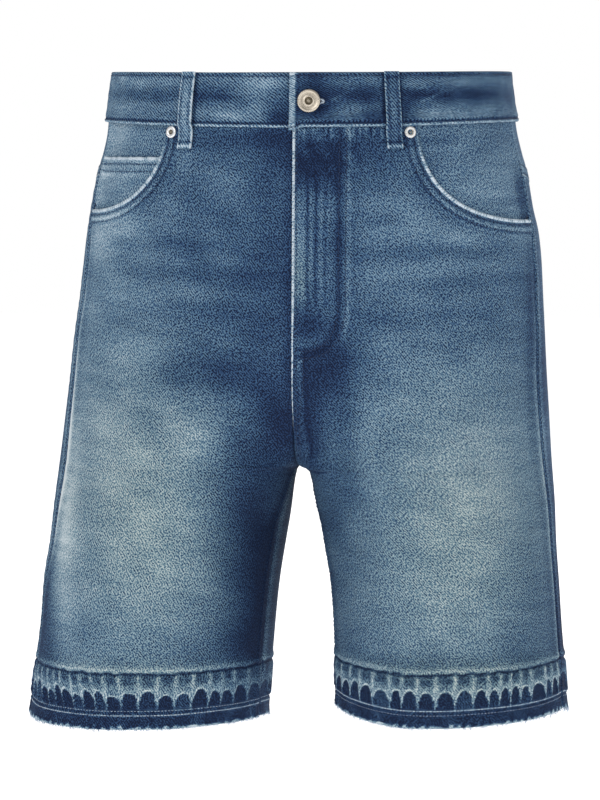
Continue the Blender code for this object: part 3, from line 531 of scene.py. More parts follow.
def fold_push(points, face, across, rows):
    """Sum of bells across each fold's line, faded at its ends and at the panel's seams."""
    push = np.zeros(points.shape[:-1])
    for fold in rows_of(FOLD_COLUMNS, rows):
        if fold["face"] != face:
            continue
        run = np.array([fold["x1"] - fold["x0"], fold["z1"] - fold["z0"]])
        length = np.linalg.norm(run)
        away = points[..., (0, 2)] - np.array([fold["x0"], fold["z0"]])
        along = away @ run / length ** 2
        off = (away[..., 0] * run[1] - away[..., 1] * run[0]) / length
        ends = smoothstep(along / 0.25 + 0.5) * smoothstep((1 - along) / 0.3 + 0.3)
        push += fold["push"] * bell(off / fold["width"]) * ends
    sign = -1 if face == FRONT else 1
    seams = smoothstep(across / 0.15) * smoothstep((1 - across) / 0.12)
    return push * seams * smoothstep(sign * points[..., 1] / 60.0)


def fly_push(side, face, across, z):
    """The wearer's left front lies over the fly; the right front lies under it."""
    if face == BACK:
        return 0.0 * across
    return side * FLY_STEP * (1 - smoothstep(across / FLY_STEP_WIDTH)) * smoothstep((z - CROTCH) / 60.0)


# %% The old hem
# Places of the ridges between the rope marks, as shares of the front's width.
ROPE_RIDGES = {
    1: (-0.02, 0.05, 0.11, 0.17, 0.222, 0.28, 0.347, 0.388, 0.437, 0.487, 0.54, 0.595, 0.643, 0.682,
        0.719, 0.757, 0.80, 0.876, 0.914, 0.96, 1.0, 1.04),
    -1: (-0.05, 0.01, 0.094, 0.161, 0.215, 0.261, 0.322, 0.379, 0.432, 0.486, 0.531, 0.576, 0.613,
         0.653, 0.694, 0.741, 0.778, 0.815, 0.86, 0.905, 0.95, 1.0, 1.05),
}
BACK_RIDGES = 30
ARCH_TOP = 26.5         # top of a rope mark, above the raw edge
ARCH_HOOK = {1: 0.0, -1: 5.0}
ROPE_LEAN = {1: 0.0002, -1: 0.0018}     # share of the width per mm of height
HEM_BAND = 52.0
HEM_ROW_COLUMNS = ("height", "length", "radius", "wash_and_shade")
HEM_ROWS_SEWN = {
    # height over the seam line, stitch length and thickness, and how worn the cloth beside it is
    1: ((0.9, 2.2, 0.32, 0.50), (-2.4, 1.3, 0.16, 0.10)),
    -1: ((0.9, 1.5, 0.20, 0.24), (-2.4, 2.2, 0.32, 0.42)),
}


def hem_lift(side, face, across):
    """How far the raw edge is drawn up above its lowest part."""
    name = side_name(side)
    if face == FRONT:
        return smooth_table(HEM_LINE, HEM_LINE_COLUMNS, name, across)
    at_inseam, at_side = (smooth_table(HEM_LINE, HEM_LINE_COLUMNS, name, end) for end in (0.0, 1.0))
    return (at_inseam * (1 - smoothstep(across / BACK_HEM_FADE))
            + at_side * (1 - smoothstep((1 - across) / BACK_HEM_FADE)))


def rope_ridges(side, face):
    if face == FRONT:
        return np.array(ROPE_RIDGES[side])
    number = np.arange(-1, BACK_RIDGES + 2)
    return (number + 0.28 * np.sin(number * 2.3 + side)) / BACK_RIDGES


def rope_mark(side, face, across, above):
    """The rope mark that a place lies in: its number, the place across it from -0.5 to 0.5, the
    half width of its hollow there, and 0 at the hollow's middle rising to 1 on its outline."""
    slant = smoothstep((across - 0.35) / 0.4) if face == FRONT else 0.5
    lean = ROPE_LEAN[side] * slant * (above - 18.0)
    wobble = 0.002 * waves(across * PANEL_WIDTH, above, 9.0, 5)
    ridges = rope_ridges(side, face)
    phase = np.interp(across - lean + wobble, ridges, np.arange(len(ridges)))
    number = np.floor(phase)
    place = phase - number - 0.5
    seam = HEM_STITCH[side]
    top = ARCH_TOP + 1.6 * np.sin(number * 1.9 + side) + np.sin(number * 4.3) + ARCH_HOOK[side] * slant * place
    rise = np.clip((above - seam) / (top - seam), 0, 1.2)
    half = 0.44 - mix(0.14, 0.03, slant if side < 0 else 0.0) * rise ** 1.5
    high = np.clip((above - seam - 7.0) / (top - seam - 7.0), 0, None)
    outline = (np.abs(place) / half) ** 2.6 + high ** 2.6
    return number, place, top, outline


def hem_relief(side, face, across, above):
    """Hollow rope marks between ridges, the old fold above them and the stitched groove below."""
    crease = CREASE[side]
    seam = HEM_STITCH[side]
    ends = smoothstep(across / 0.02) * smoothstep((1 - across) / 0.02)
    band = smoothstep((crease - above) / 5.0) * smoothstep((above - seam) / 3.0)
    _, place, top, outline = rope_mark(side, face, across, above)
    ridge = bell((0.5 - np.abs(place)) / 0.2)
    rope = (0.35 + 0.75 * ridge - 0.55 * smoothstep((1.1 - outline) / 0.7)) * band
    wander = fold_wander(across)
    fold = 0.8 * bell((above - crease - 2.6 - wander) / 2.4)
    fold -= 0.8 * bell(above - crease + 0.4 - wander)
    stitch = -0.5 * bell((above - seam) / 1.6)
    curl = 0.5 * smoothstep((6.0 - above) / 6.0)
    return (rope + fold + stitch) * ends + curl


def fold_wander(across):
    """The old fold isn't a ruled line: it wanders by half a millimetre."""
    return 0.55 * waves(across * PANEL_WIDTH, 0.0 * across, 10.0, 8)


# %% Puckers along the seams
def seam_ripple(z):
    """Puckers down a seam, about 9 mm apart, their pace drifting."""
    return ripples(z * 0.68 + 1.3 * np.sin(z * 0.11))


def mouth_ripple(across, z):
    return ripples(across * 190.0 + z * 0.9)


def seam_relief(side, face, base, across):
    """A felled ridge beside each long seam, rippled where the stitches have drawn it in."""
    z = base[..., 2]
    from_side = (1 - across) * PANEL_WIDTH
    from_inseam = across * PANEL_WIDTH
    groove = -0.55 * (bell(from_side / 1.1) + bell(from_inseam / 1.1))
    puckers = 0.28 * seam_ripple(z) * (bell((from_side - 7.0) / 6.0) + bell((from_inseam - 7.0) / 6.0))
    if face == BACK:
        felled = 0.5 * smoothstep((11.0 - from_side) / 1.5) * smoothstep(from_side / 0.8)
    else:
        leg = smoothstep((CROTCH + 10.0 - z) / 20.0)
        felled = 0.5 * smoothstep((9.0 - from_inseam) / 1.5) * smoothstep(from_inseam / 0.8) * leg
    return groove + puckers + felled


def mouth_relief(side, face, base, across):
    """The mouth's turned hem stands up, with a groove at each of its two rows of stitches."""
    off = np.full(base.shape[:-1], 99.0)
    near = (face == FRONT) & (base[..., 2] > MOUTH_FOOT[side] - 18.0) & (across > mouth_start(side) - 0.1)
    if not np.any(near):
        return 0.0 * across, off
    off[near] = distance_to(base[near], mouth_points(side))
    ripple = mouth_ripple(across, base[..., 2])
    hem = 0.75 * smoothstep((10.6 - off) / 1.2) - 0.5 * bells(off, MOUTH_ROWS, 0.8)
    puckers = 0.35 * bell((off - 6.5) / 2.5) + 0.25 * bell((off - 13.0) / 4.0)
    return hem + puckers * ripple, off


def fly_relief(side, face, base, across):
    """The facing under the fly shows as a flat step that ends at its J of stitches."""
    if face == BACK or side < 0:
        return 0.0 * across, np.full(base.shape[:-1], 99.0)
    x, z = fly_curve(0.0)
    line = np.stack([x, z], -1)
    flat = base[..., (0, 2)]
    off = np.full(base.shape[:-1], 99.0)
    near = (base[..., 0] < FLY_X + 30.0) & (base[..., 2] > FLY_FOOT[1] - 30.0)
    off[near] = distance_to(flat[near], line)
    height = smoothstep((base[..., 2] - FLY_FOOT[1] + 6.0) / 8.0)
    ripple = ripples(base[..., 2] * 0.75 + 1.2 * np.sin(base[..., 2] * 0.13))
    ridge = (0.55 * bell((off - 3.2) / 1.6) - 0.45 * bell(off / 1.0)) * height
    return ridge + 0.28 * ripple * bell((off - 7.0) / 5.0) * height, off


def place_on(base, side, face, across, **more):
    """What the wash needs to know about each point."""
    return {"x": base[..., 0], "z": base[..., 2], "across": across, "side": side, "face": face, **more}


def cloth(side, face, across, level):
    """The dressed panel's face. level is climb, before the hem's edge is drawn up.

    Returns points, outward normals and the places that the wash needs.
    """
    drawn_up = hem_lift(side, face, across) / (CROTCH - HEM[side])
    climb = level + drawn_up * (1 - np.clip(level, 0, 1)) ** 2
    base = surface(side, face, across, climb)
    out = normals(side, face, across, climb)
    above = np.where(level < 1, level * (CROTCH - HEM[side]), 999.0)
    mouth, from_mouth = mouth_relief(side, face, base, across)
    fly, from_fly = fly_relief(side, face, base, across)
    push = fold_push(base, face, across, FOLDS) + fly_push(side, face, across, base[..., 2])
    push += fold_push(base, face, across, CREASES)
    push += hem_relief(side, face, across, above) + seam_relief(side, face, base, across) + mouth + fly
    push += 0.35 * waves(base[..., 0], base[..., 2], 60.0, 3) * smoothstep(across / 0.1)
    return base + out * push[..., None], out, place_on(base, side, face, across, above=above,
                                                       mouth=from_mouth, fly=from_fly)


# %% [markdown]
# ## How the wash is drawn
# Indigo sits only on the outside of the yarn, so wear shows as a lighter blue. The garment is
# stonewashed: pale thighs, whiskers at the hips, dark hollows by the fly and inner leg, and white
# ridges wherever cloth was doubled. The wear could be painted as an image. Here it is a sum of
# soft ovals in millimetres, with one row of a table for each, stored on the mesh as an attribute
# that the denim material reads: 0 is unworn indigo, 1 is bare yarn. Some dark ovals are painted
# shade, not wear: in the valley between the thighs, beside the fly's edge, under the waistband,
# down the inner legs and down the outer edges, where the cloth turns from the light.

# %% The table of worn, unworn and shaded places
BASE_WASH = 0.45
WASH_COLUMNS = ("x", "z", "wide", "high", "tilt", "wash_and_shade")
# Rows by panel: face, then side, 0 for both.
WASH_AND_SHADE = {
    (FRONT, -1): (
        # thigh, hip and hem
        (-112, -345, 62, 95, 0, 0.34),
        (-138, -262, 30, 46, 0, 0.16),
        # Painted shade down the inner leg, where it turns from the light; the cloth is also less worn there.
        (-36, -372, 20, 120, -4, -0.26),
        (-158, -150, 34, 70, 0, 0.17),
        (-140, -117, 40, 19, 0, 0.26),
        (-170, -370, 16, 90, 0, 0.08),
        (-66, -262, 28, 26, 0, 0.19),
        (-120, -350, 44, 60, 0, -0.07),
        (-70, -80, 26, 20, 0, 0.05),
        # Painted shadow under the waistband's lower edge.
        (-60, -51, 44, 9, 0, -0.13),
        (-78, -66, 8, 12, 0, 0.13),
        (-172, -112, 10, 14, 0, 0.1),
        (-106, -168, 32, 9, 0, 0.2),
        (-52, -424, 42, 14, 0, -0.15),
        (-176, -290, 13, 105, 0, 0.36),
        (-176, -238, 7, 24, 0, 0.12),
        (-109, -209, 25, 16, 0, 0.2),
        (-70, -90, 14, 44, 0, -0.09),
        (-30, -160, 22, 60, 0, -0.07),
        (-76, -222, 26, 12, 4, -0.13),
        # Painted shadow beside the fly's rolled edge.
        (2, -170, 5, 160, 0, -0.2),
        # The next two rows: painted shade down the inner leg, where it turns from the light, and less worn
        # cloth.
        (-24, -372, 16, 104, -2, -0.32),
        (-32, -430, 20, 24, 0, -0.1),
        # Painted shadow under the waistband's lower edge.
        (-20, -50, 30, 7, 0, -0.12),
        # Painted shade down the outer edge, where the leg turns away from the light.
        (-194, -400, 13, 86, -5, -0.28),
        # beside the fly
        (-8, -56, 20, 22, 0, -0.2),
        (-10, -140, 18, 92, 0, -0.15),
        # Painted shade in the valley between the thighs.
        (-8, -260, 16, 38, 0, -0.32),
        # whiskers
        (-95, -127, 60, 7, 3, -0.1),
        (-60, -148, 60, 8, 4, -0.1),
        (-70, -174, 70, 8, 7, -0.11),
        (-45, -218, 46, 14, 8, -0.16),
        (-92, -138, 60, 6, 3, 0.05),
        (-80, -160, 60, 6, 5, 0.05),
    ),
    (FRONT, 1): (
        # thigh, hip and hem
        (140, -322, 66, 92, 0, 0.32),
        (100, -400, 60, 60, 0, 0.12),
        (34, -300, 18, 66, 12, -0.16),
        (80, -200, 54, 84, 0, 0.11),
        (130, -122, 40, 9, 0, 0.16),
        (165, -124, 12, 8, 0, 0.12),
        (68, -96, 24, 8, 0, 0.1),
        # The next two rows: painted shade down the outer edge, where the leg turns away from the light.
        (178, -190, 11, 62, 0, -0.26),
        (174, -370, 22, 100, 0, -0.14),
        (132, -355, 40, 50, 0, -0.08),
        (38, -122, 9, 12, 0, -0.14),
        (66, -111, 22, 7, 0, -0.14),
        (64, -180, 18, 14, 0, -0.12),
        (112, -181, 28, 8, 0, -0.09),
        (56, -264, 11, 28, 0, 0.12),
        # Painted shadow under the waistband's lower edge.
        (76, -47, 20, 10, 0, -0.18),
        (86, -66, 8, 10, 0, 0.11),
        (100, -430, 64, 10, 0, -0.12),
        (40, -160, 10, 60, 0, -0.12),
        # the fly and beside it
        (56, -62, 30, 20, 0, -0.18),
        (25, -218, 24, 38, 0, -0.22),
        (22, -196, 22, 5, -14, 0.12),
        (20, -140, 26, 60, 0, -0.07),
        (32, -216, 24, 18, -12, -0.18),
        (10, -150, 5, 30, 0, 0.12),
        # Painted shade in the valley between the thighs.
        (11, -258, 13, 38, 0, -0.32),
        (12, -184, 13, 12, 0, -0.28),
        (8, -78, 7, 18, 0, -0.12),
        (9, -146, 6, 16, 0, -0.08),
        (30, -276, 10, 12, 0, 0.1),
        (20, -66, 24, 23, 0, -0.38),
        # whiskers
        (108, -132, 56, 7, -2, -0.12),
        (100, -157, 60, 7, -4, -0.09),
        (110, -178, 56, 8, -6, -0.08),
        (100, -200, 56, 9, -8, -0.08),
        (84, -112, 30, 9, -4, 0.14),
        (110, -144, 56, 6, -2, 0.07),
    ),
    (BACK, -1): (
        # inner leg: painted shade where it turns from the light, and less worn there
        (-26, -370, 18, 130, 0, -0.2),
    ),
    (FRONT, 0): (
        # painted shade in the crotch, on both sides
        (5, -266, 12, 20, 0, -0.1),
    ),
    (BACK, 0): (
        # seat and thigh, on both sides
        (86, -180, 70, 66, 0, 0.24),
        (92, -360, 60, 90, 0, 0.16),
        (14, -235, 20, 60, 0, -0.12),
        (60, -296, 60, 10, 12, -0.14),
        (70, -318, 60, 9, 8, -0.1),
        (90, -80, 60, 20, 0, 0.1),
    ),
    (BACK, 1): (
        # beside the side seam: the dark rows are painted shade where the back turns away from the light at the
        # outer edge
        (180, -290, 15, 230, 0, -0.14),
        (180, -268, 12, 18, 0, 0.16),
        (182, -225, 10, 26, 0, -0.14),
        (192, -415, 9, 70, 0, -0.36),
    ),
}


def oval_sum(place, table):
    """Sum of ovals: wash times exp(-(u/wide)² - (v/high)²), u and v turned by tilt."""
    total = np.zeros(place["x"].shape)
    for (face, side), rows in table.items():
        if face != place["face"] or side * place["side"] < 0:
            continue
        x = place["x"] if side else np.abs(place["x"])
        for spot in rows_of(WASH_COLUMNS, rows):
            turn = math.radians(spot["tilt"])
            away, up = x - spot["x"], place["z"] - spot["z"]
            u = away * math.cos(turn) - up * math.sin(turn)
            v = away * math.sin(turn) + up * math.cos(turn)
            total += spot["wash_and_shade"] * bell(u / spot["wide"]) * bell(v / spot["high"])
    return total


DUST = {
    (FRONT, -1): (
        (-105, -330, 75, 120, 0, 0.9),
        (-110, -446, 90, 14, 0, 0.5),
    ),
    (FRONT, 1): (
        (120, -345, 80, 120, 0, 0.9),
        (9, -150, 6, 20, 0, 0.6),
        (120, -441, 90, 14, 0, 0.7),
    ),
    (BACK, 0): (
        (90, -350, 70, 110, 0, 0.6),
    ),
}


def dusty(place):
    """Where tumbling with stones has left the cloth greyer than the indigo scale alone."""
    return np.clip(oval_sum(place, DUST), 0.0, 1.0)


# %% Wear and painted shade on the hem, the seams and the pocket mouths
def hem_wash_and_shade(place, wash_and_shade):
    """Repaints the let-down band: old fold, rope marks, unworn edge below the stitches, lint, and painted shade
    towards the seams.
    """
    side, face, across, above = (place[key] for key in ("side", "face", "across", "above"))
    crease = CREASE[side]
    seam = HEM_STITCH[side]
    number, spot, top, outline = rope_mark(side, face, across, above)
    jitter = waves(across * PANEL_WIDTH, above, 6.0, 21)
    smudge = waves(across * PANEL_WIDTH, above * 0.5, 12.0, 22)
    wander = fold_wander(across)
    ridge = bell((0.5 - np.abs(spot)) / 0.17)
    strength = 0.75 + 0.25 * np.sin(number * 2.7 + side)
    upper = 0.62 + 0.20 * ridge * strength + 0.07 * jitter + 0.10 * smudge
    upper -= (0.36 + 0.2 * smudge) * bell((above - crease + 5.0) / 4.0) * (1 - ridge)
    hollow = smoothstep((1.36 - outline) / 0.32)
    faint = 0.18 * ripples(number * 3.7 + 2 * side) ** 4
    if side < 0 and face == FRONT:
        faint = faint + 0.26 * smoothstep((across - 0.86) / 0.12)
    tone = 0.70 - 0.18 * smoothstep((seam + 9.0 - above) / 9.0) + 0.10 * jitter
    lower = mix(tone, faint + 0.04 * jitter, hollow)
    band = mix(lower, upper, smoothstep((above - top - 0.5) / 2.0))
    band += 0.26 * bell((outline - 1.65) / 0.3) * smoothstep((above - seam - 6.0) / 6.0)
    # Painted shade: the band darkens towards the inseam on a front, over a wide stretch on the wearer's right,
    # and towards both seams on a back.
    shade = smoothstep(across / 0.34) if side < 0 else smoothstep(across / 0.08)
    if face == BACK:
        shade = smoothstep((1 - across) / 0.2) * smoothstep(across / 0.2)
    result = mix(wash_and_shade, band * mix(0.62, 1.0, shade), smoothstep((crease + 1.0 + wander - above) / 1.2))
    result += 0.24 * bell((above - crease - 2.6 - wander) / 2.2)
    result -= 0.60 * bell((above - crease + 0.5 - wander) / (1.05 + 0.3 * jitter))
    result = mix(result, 0.07 + 0.08 * smudge + 0.05 * jitter, smoothstep((seam + 0.9 - above) / 1.4))
    for sewn in rows_of(HEM_ROW_COLUMNS, HEM_ROWS_SEWN[side]):
        result += sewn["wash_and_shade"] * (1 + 0.25 * jitter) * bell((above - seam - sewn["height"]) / 0.8)
    lint = 0.75 * smoothstep((2.2 + 1.5 * jitter - above) / 1.6)
    return result + lint


FLY_COLUMN_NAMES = ("x", "top", "foot", "width", "wash_and_shade")
FLY_COLUMNS = (
    (7.6, -78, -168, 2.2, 0.15),
    (11.4, -74, -176, 1.8, 0.13),
    (14.6, -70, -180, 0.9, -0.26),
    (17.2, -78, -160, 1.6, 0.13),
    (20.6, -72, -176, 1, -0.26),
    (24.4, -82, -176, 1.3, 0.12),
    (27.4, -80, -170, 0.8, -0.14),
    (29.6, -84, -168, 1.1, 0.08),
    (33.4, -92, -186, 1.4, 0.08),
    (8.6, -200, -288, 2.2, 0.16),
    (12.4, -196, -290, 1.1, -0.26),
)


def fly_columns(x, z):
    """Zip tape and folded plies rub through the fly as light and dark stripes down its length."""
    total = 0.0 * x
    wander = 0.5 * waves(x * 0.1, z, 24.0, 91)
    for stripe in rows_of(FLY_COLUMN_NAMES, FLY_COLUMNS):
        length = smoothstep((stripe["top"] - z) / 14.0) * smoothstep((z - stripe["foot"]) / 14.0)
        total += stripe["wash_and_shade"] * bell((x - stripe["x"] - wander) / stripe["width"]) * length
    bars = smoothstep(np.sin(z * 1.25 + 0.4)) * bell((x - 8.8) / 3.2) * bell((z + 208.0) / 12.0)
    by_band = smoothstep((z + 54.0) / 6.0)
    puckers = waves(x * 1.3, z * 0.3, 6.0, 92) * smoothstep((-41.0 - z) / 2.0) * by_band
    crumple = waves(x * 0.7 + z * 0.6, z - x * 0.3, 9.0, 93)
    crumple = crumple * bell((x - 28.0) / 26.0) * bell((z + 66.0) / 17.0)
    return total + 0.36 * bars + (0.10 + 0.22 * puckers) * by_band + 0.13 * crumple


def panel_wash_and_shade(place):
    """Wash and painted shade of a leg panel, from the ovals, then the seams, the mouth, the fly and the hem."""
    across, x, z = place["across"], place["x"], place["z"]
    wash_and_shade = BASE_WASH + oval_sum(place, WASH_AND_SHADE)
    wash_and_shade += 0.035 * waves(x, z, 34.0, 11) + 0.03 * waves(x * 0.4, z, 13.0, 12)
    from_side = (1 - across) * PANEL_WIDTH
    from_inseam = across * PANEL_WIDTH
    wash_and_shade += (0.16 * bell((from_side - 3.0) / 2.4) - 0.10 * bell((from_side - 10.0) / 5.0)
             + 0.07 * (seam_ripple(z) - 0.5) * bell((from_side - 9.0) / 6.0))
    wash_and_shade -= 0.16 * bell(from_side)
    leg = smoothstep((CROTCH + 10.0 - z) / 20.0)
    wash_and_shade += (0.14 * bell((from_inseam - 2.5) / 2.2) - 0.14 * bell((from_inseam - 10.0) / 5.0)) * leg
    if place["face"] == FRONT:
        off = place["mouth"]
        ripple = 0.5 + 0.5 * mouth_ripple(across, z)
        low = smoothstep((-76.0 - z) / 20.0)
        wash_and_shade += 0.08 * bell(off / 1.6) + (0.04 + 0.17 * low) * ripple * bell((off - 6.4) / 1.1)
        wash_and_shade -= 0.24 * bell(off - MOUTH_ROWS[0]) + 0.24 * bell((off - MOUTH_ROWS[1] - 0.3) / 1.1)
        wash_and_shade -= 0.06 * bell((off - 13.0) / 4.0)
        off = place["fly"]
        wash_and_shade += -0.20 * bell((off - 1.0) / 3.2) * smoothstep((FLY_X + 2.0 - x) / 4.0)
        wash_and_shade += 0.18 * bell((off - 5.4) / 2.2) * smoothstep((x - FLY_X - 1.0) / 2.0)
    if place["face"] == FRONT and place["side"] > 0:
        wash_and_shade += fly_columns(x, z)
    return np.clip(hem_wash_and_shade(place, wash_and_shade), 0.0, 1.0)


# %% [markdown]
# ## Meshes from grids
# Each piece of cloth is a closed wall: a fine grid of points outside, a coarser grid inside, and
# fans of triangles round the edges that join the two. The coarse inside keeps the piece light
# where nobody looks closely. Everything is computed as whole arrays and handed to Blender once.


# %% Wall, tube and object builders
def grid_quads(index):
    """Vertex numbers of a grid's cells, one row of four for each cell."""
    return np.stack([index[:-1, :-1], index[:-1, 1:], index[1:, 1:], index[1:, :-1]], -1).reshape(-1, 4)


def rim(index):
    """Vertex numbers round the edge of a grid, once round, ending where they began."""
    return np.concatenate([index[0, :-1], index[:-1, -1], index[-1, :0:-1], index[::-1, 0]])


def fan(coarse, fine):
    """Triangles between a coarse rim and a fine one with a whole number of steps to each cell."""
    ratio = (len(fine) - 1) // (len(coarse) - 1)
    cell = np.arange(len(coarse) - 1)[:, None]
    step = np.arange(ratio)[None, :]
    owner = np.where(step < ratio // 2, coarse[cell], coarse[cell + 1])
    at = cell * ratio + step
    small = np.stack([fine[at + 1], fine[at], owner], -1).reshape(-1, 3)
    middle = fine[cell[:, 0] * ratio + ratio // 2]
    return np.concatenate([small, np.stack([coarse[:-1], coarse[1:], middle], -1)])


def tube_faces(ring_count, sides):
    """Quads round a tube, and the triangles that close it on two points after its last ring."""
    index = np.arange(ring_count * sides).reshape(ring_count, sides)
    index = np.concatenate([index, index[:, :1]], axis=1)
    ends = np.full((2, sides), ring_count * sides) + [[0], [1]]
    return grid_quads(index), np.concatenate([
        np.stack([ends[0], index[0, 1:], index[0, :-1]], -1),
        np.stack([ends[1], index[-1, :-1], index[-1, 1:]], -1)])


def signed_volume(points, quads, tris):
    """A sixth of the sum of the triple products of all triangles."""
    all_tris = np.concatenate([quads[:, (0, 1, 2)], quads[:, (0, 2, 3)], tris])
    a, b, c = (points[all_tris[:, k]] for k in range(3))
    return float(np.einsum("ij,ij->i", a, np.cross(b, c)).sum() / 6)


NO_QUADS = np.zeros((0, 4), dtype=int)
NO_TRIS = np.zeros((0, 3), dtype=int)


class Bag:
    """Collects closed shapes in millimetres, with wash and painted shade, inside, dust and weave values at each
    point.
    """

    def __init__(self):
        self.points, self.quads, self.tris, self.weave = ([] for _ in range(4))
        self.values = {"wash_and_shade": [], "inside": [], "dust": []}
        self.count = 0

    def add(self, points, quads=NO_QUADS, tris=NO_TRIS, wash_and_shade=0.5, inside=0.0, weave=None, dust=0.0):
        points = np.asarray(points, dtype=float).reshape(-1, 3)
        if signed_volume(points, quads, tris) < 0:
            quads, tris = quads[:, ::-1], tris[:, ::-1]
        self.points.append(points)
        self.quads.append(quads + self.count)
        self.tris.append(tris + self.count)
        for key, value in (("wash_and_shade", wash_and_shade), ("inside", inside), ("dust", dust)):
            self.values[key].append(np.broadcast_to(np.asarray(value, dtype=float).reshape(-1), len(points)))
        self.weave.append(points[:, (0, 2)] if weave is None else np.asarray(weave).reshape(-1, 2))
        self.count += len(points)

    def make(self, name, made_of, sharp=50.0):
        """One object at the origin, its points turned to metres."""
        mesh = bpy.data.meshes.new(name)
        faces = np.concatenate(self.quads).tolist() + np.concatenate(self.tris).tolist()
        mesh.from_pydata((np.concatenate(self.points) * MM).tolist(), [], faces)
        for key, values in self.values.items():
            layer = mesh.attributes.new(key, "FLOAT", "POINT")
            layer.data.foreach_set("value", np.concatenate(values).astype(np.float32))
        corner = np.empty(len(mesh.loops), dtype=np.int32)
        mesh.loops.foreach_get("vertex_index", corner)
        weave = mesh.uv_layers.new(name="weave")
        flat = np.concatenate(self.weave)[corner]
        weave.data.foreach_set("uv", (flat * MM).astype(np.float32).reshape(-1))
        mesh.shade_smooth()
        mesh.set_sharp_from_angle(angle=math.radians(sharp))
        mesh.materials.append(made_of)
        made = bpy.data.objects.new(name, mesh)
        bpy.context.scene.collection.objects.link(made)
        print(f"{name}: {len(faces)} faces")
        return made


def run_lengths(points):
    """Distance along each row of a grid of points, from its first column, heights left out."""
    step = np.linalg.norm(np.diff(points[..., :2], axis=1), axis=-1)
    return np.concatenate([np.zeros((len(points), 1)), np.cumsum(step, axis=1)], axis=1)


FINE = 4        # fine cells of an outside to a coarse one of its inside


def add_wall(bag, outer, inner, wash_and_shade, weave, inner_tone=0.5, dust=0.0, shaded_inside=0.0):
    """A wall between an outer grid and every fourth point of an inner grid.

    Its inside is pale, as denim's is, but for a share of each point that is painted dark as shade.
    """
    inner = inner[::FINE, ::FINE]
    rows, columns = outer.shape[:2]
    count = rows * columns
    out_id = np.arange(count).reshape(rows, columns)
    in_id = np.arange(inner.shape[0] * inner.shape[1]).reshape(inner.shape[:2]) + count
    quads = np.concatenate([grid_quads(out_id), grid_quads(in_id)[:, ::-1]])
    points = np.concatenate([outer.reshape(-1, 3), inner.reshape(-1, 3)])
    pale = 1.0 - np.broadcast_to(shaded_inside, outer.shape[:2])[::FINE, ::FINE].reshape(-1)
    inside = np.concatenate([np.zeros(count), pale])
    tone = np.concatenate([np.broadcast_to(wash_and_shade, outer.shape[:2]).reshape(-1),
                           np.full(len(points) - count, inner_tone)])
    flat = np.concatenate([weave.reshape(-1, 2), weave[::FINE, ::FINE].reshape(-1, 2)])
    greyed = np.concatenate([np.broadcast_to(dust, outer.shape[:2]).reshape(-1),
                             np.zeros(len(points) - count)])
    bag.add(points, quads, fan(rim(in_id), rim(out_id)), tone, inside, flat, greyed)


ROPE_PACE = 2.6         # radians of twist for each mm along a shrunken edge


def add_tube(bag, path, out, radius, wash_and_shade, twist, sides=10):
    """A round edge: a circle carried along a path, closed by a point at each end.

    The circle stands on the path's outward vector and on that vector crossed with the path.
    Dark marks wind round it like a rope's, because such an edge was twisted by its stitches.
    """
    along = unit(np.gradient(path, axis=0))
    beside = unit(np.cross(along, out))
    turn = np.arange(sides) * 2 * math.pi / sides
    radius = np.broadcast_to(radius, len(path))[:, None, None]
    circle = out[:, None, :] * np.cos(turn)[:, None] + beside[:, None, :] * np.sin(turn)[:, None]
    rings = path[:, None, :] + circle * radius
    points = np.concatenate([rings.reshape(-1, 3), path[:1], path[-1:]])
    length = path_length(path)
    flat = np.stack(np.broadcast_arrays(turn[None, :] * 1.2, length[:, None]), -1).reshape(-1, 2)
    flat = np.concatenate([flat, [[0, 0], [0, length[-1]]]])
    level = np.asarray(wash_and_shade, dtype=float).reshape(-1, 1)
    tone = (level - 0.5 * twist * smoothstep(np.sin(length[:, None] * ROPE_PACE + turn[None, :]))).reshape(-1)
    tone = np.broadcast_to(tone, len(path) * sides) if tone.size > sides else np.tile(tone, len(path))
    tone = np.concatenate([tone, [tone[0], tone[-1]]])
    bag.add(points, *tube_faces(len(path), sides), tone, 0.0, flat)


# %% [markdown]
# ## Stitches
# A row of topstitching is a thread that dives into the cloth every three millimetres. It could be
# a dashed line in the material, but real stitches catch the light and cast a small shadow. Each
# one is a short capsule bent down at its ends; a whole row is made at once as one array.

# %% Stitch rows
STITCH_PITCH = 3.1
STITCH_LENGTH = 2.5
THREAD_RADIUS = 0.30
STITCH_RINGS = np.array([-1.0, -0.7, 0.0, 0.7, 1.0])
STITCH_WIDTHS = np.array([0.45, 0.9, 1.0, 0.9, 0.45])


def along_path(path, vectors, spacing):
    """Evenly spaced points of a path, its direction there, and vectors read at the same places."""
    length = path_length(path)
    count = max(int(length[-1] / spacing), 1)
    at = (np.arange(count) + 0.5) * length[-1] / count
    point, ahead, vector = (np.stack([np.interp(shifted, length, source[:, k]) for k in range(3)], -1)
                            for shifted, source in ((at, path), (at + 0.3, path), (at, vectors)))
    behind = np.stack([np.interp(at - 0.3, length, path[:, k]) for k in range(3)], -1)
    return point, unit(ahead - behind), unit(vector)


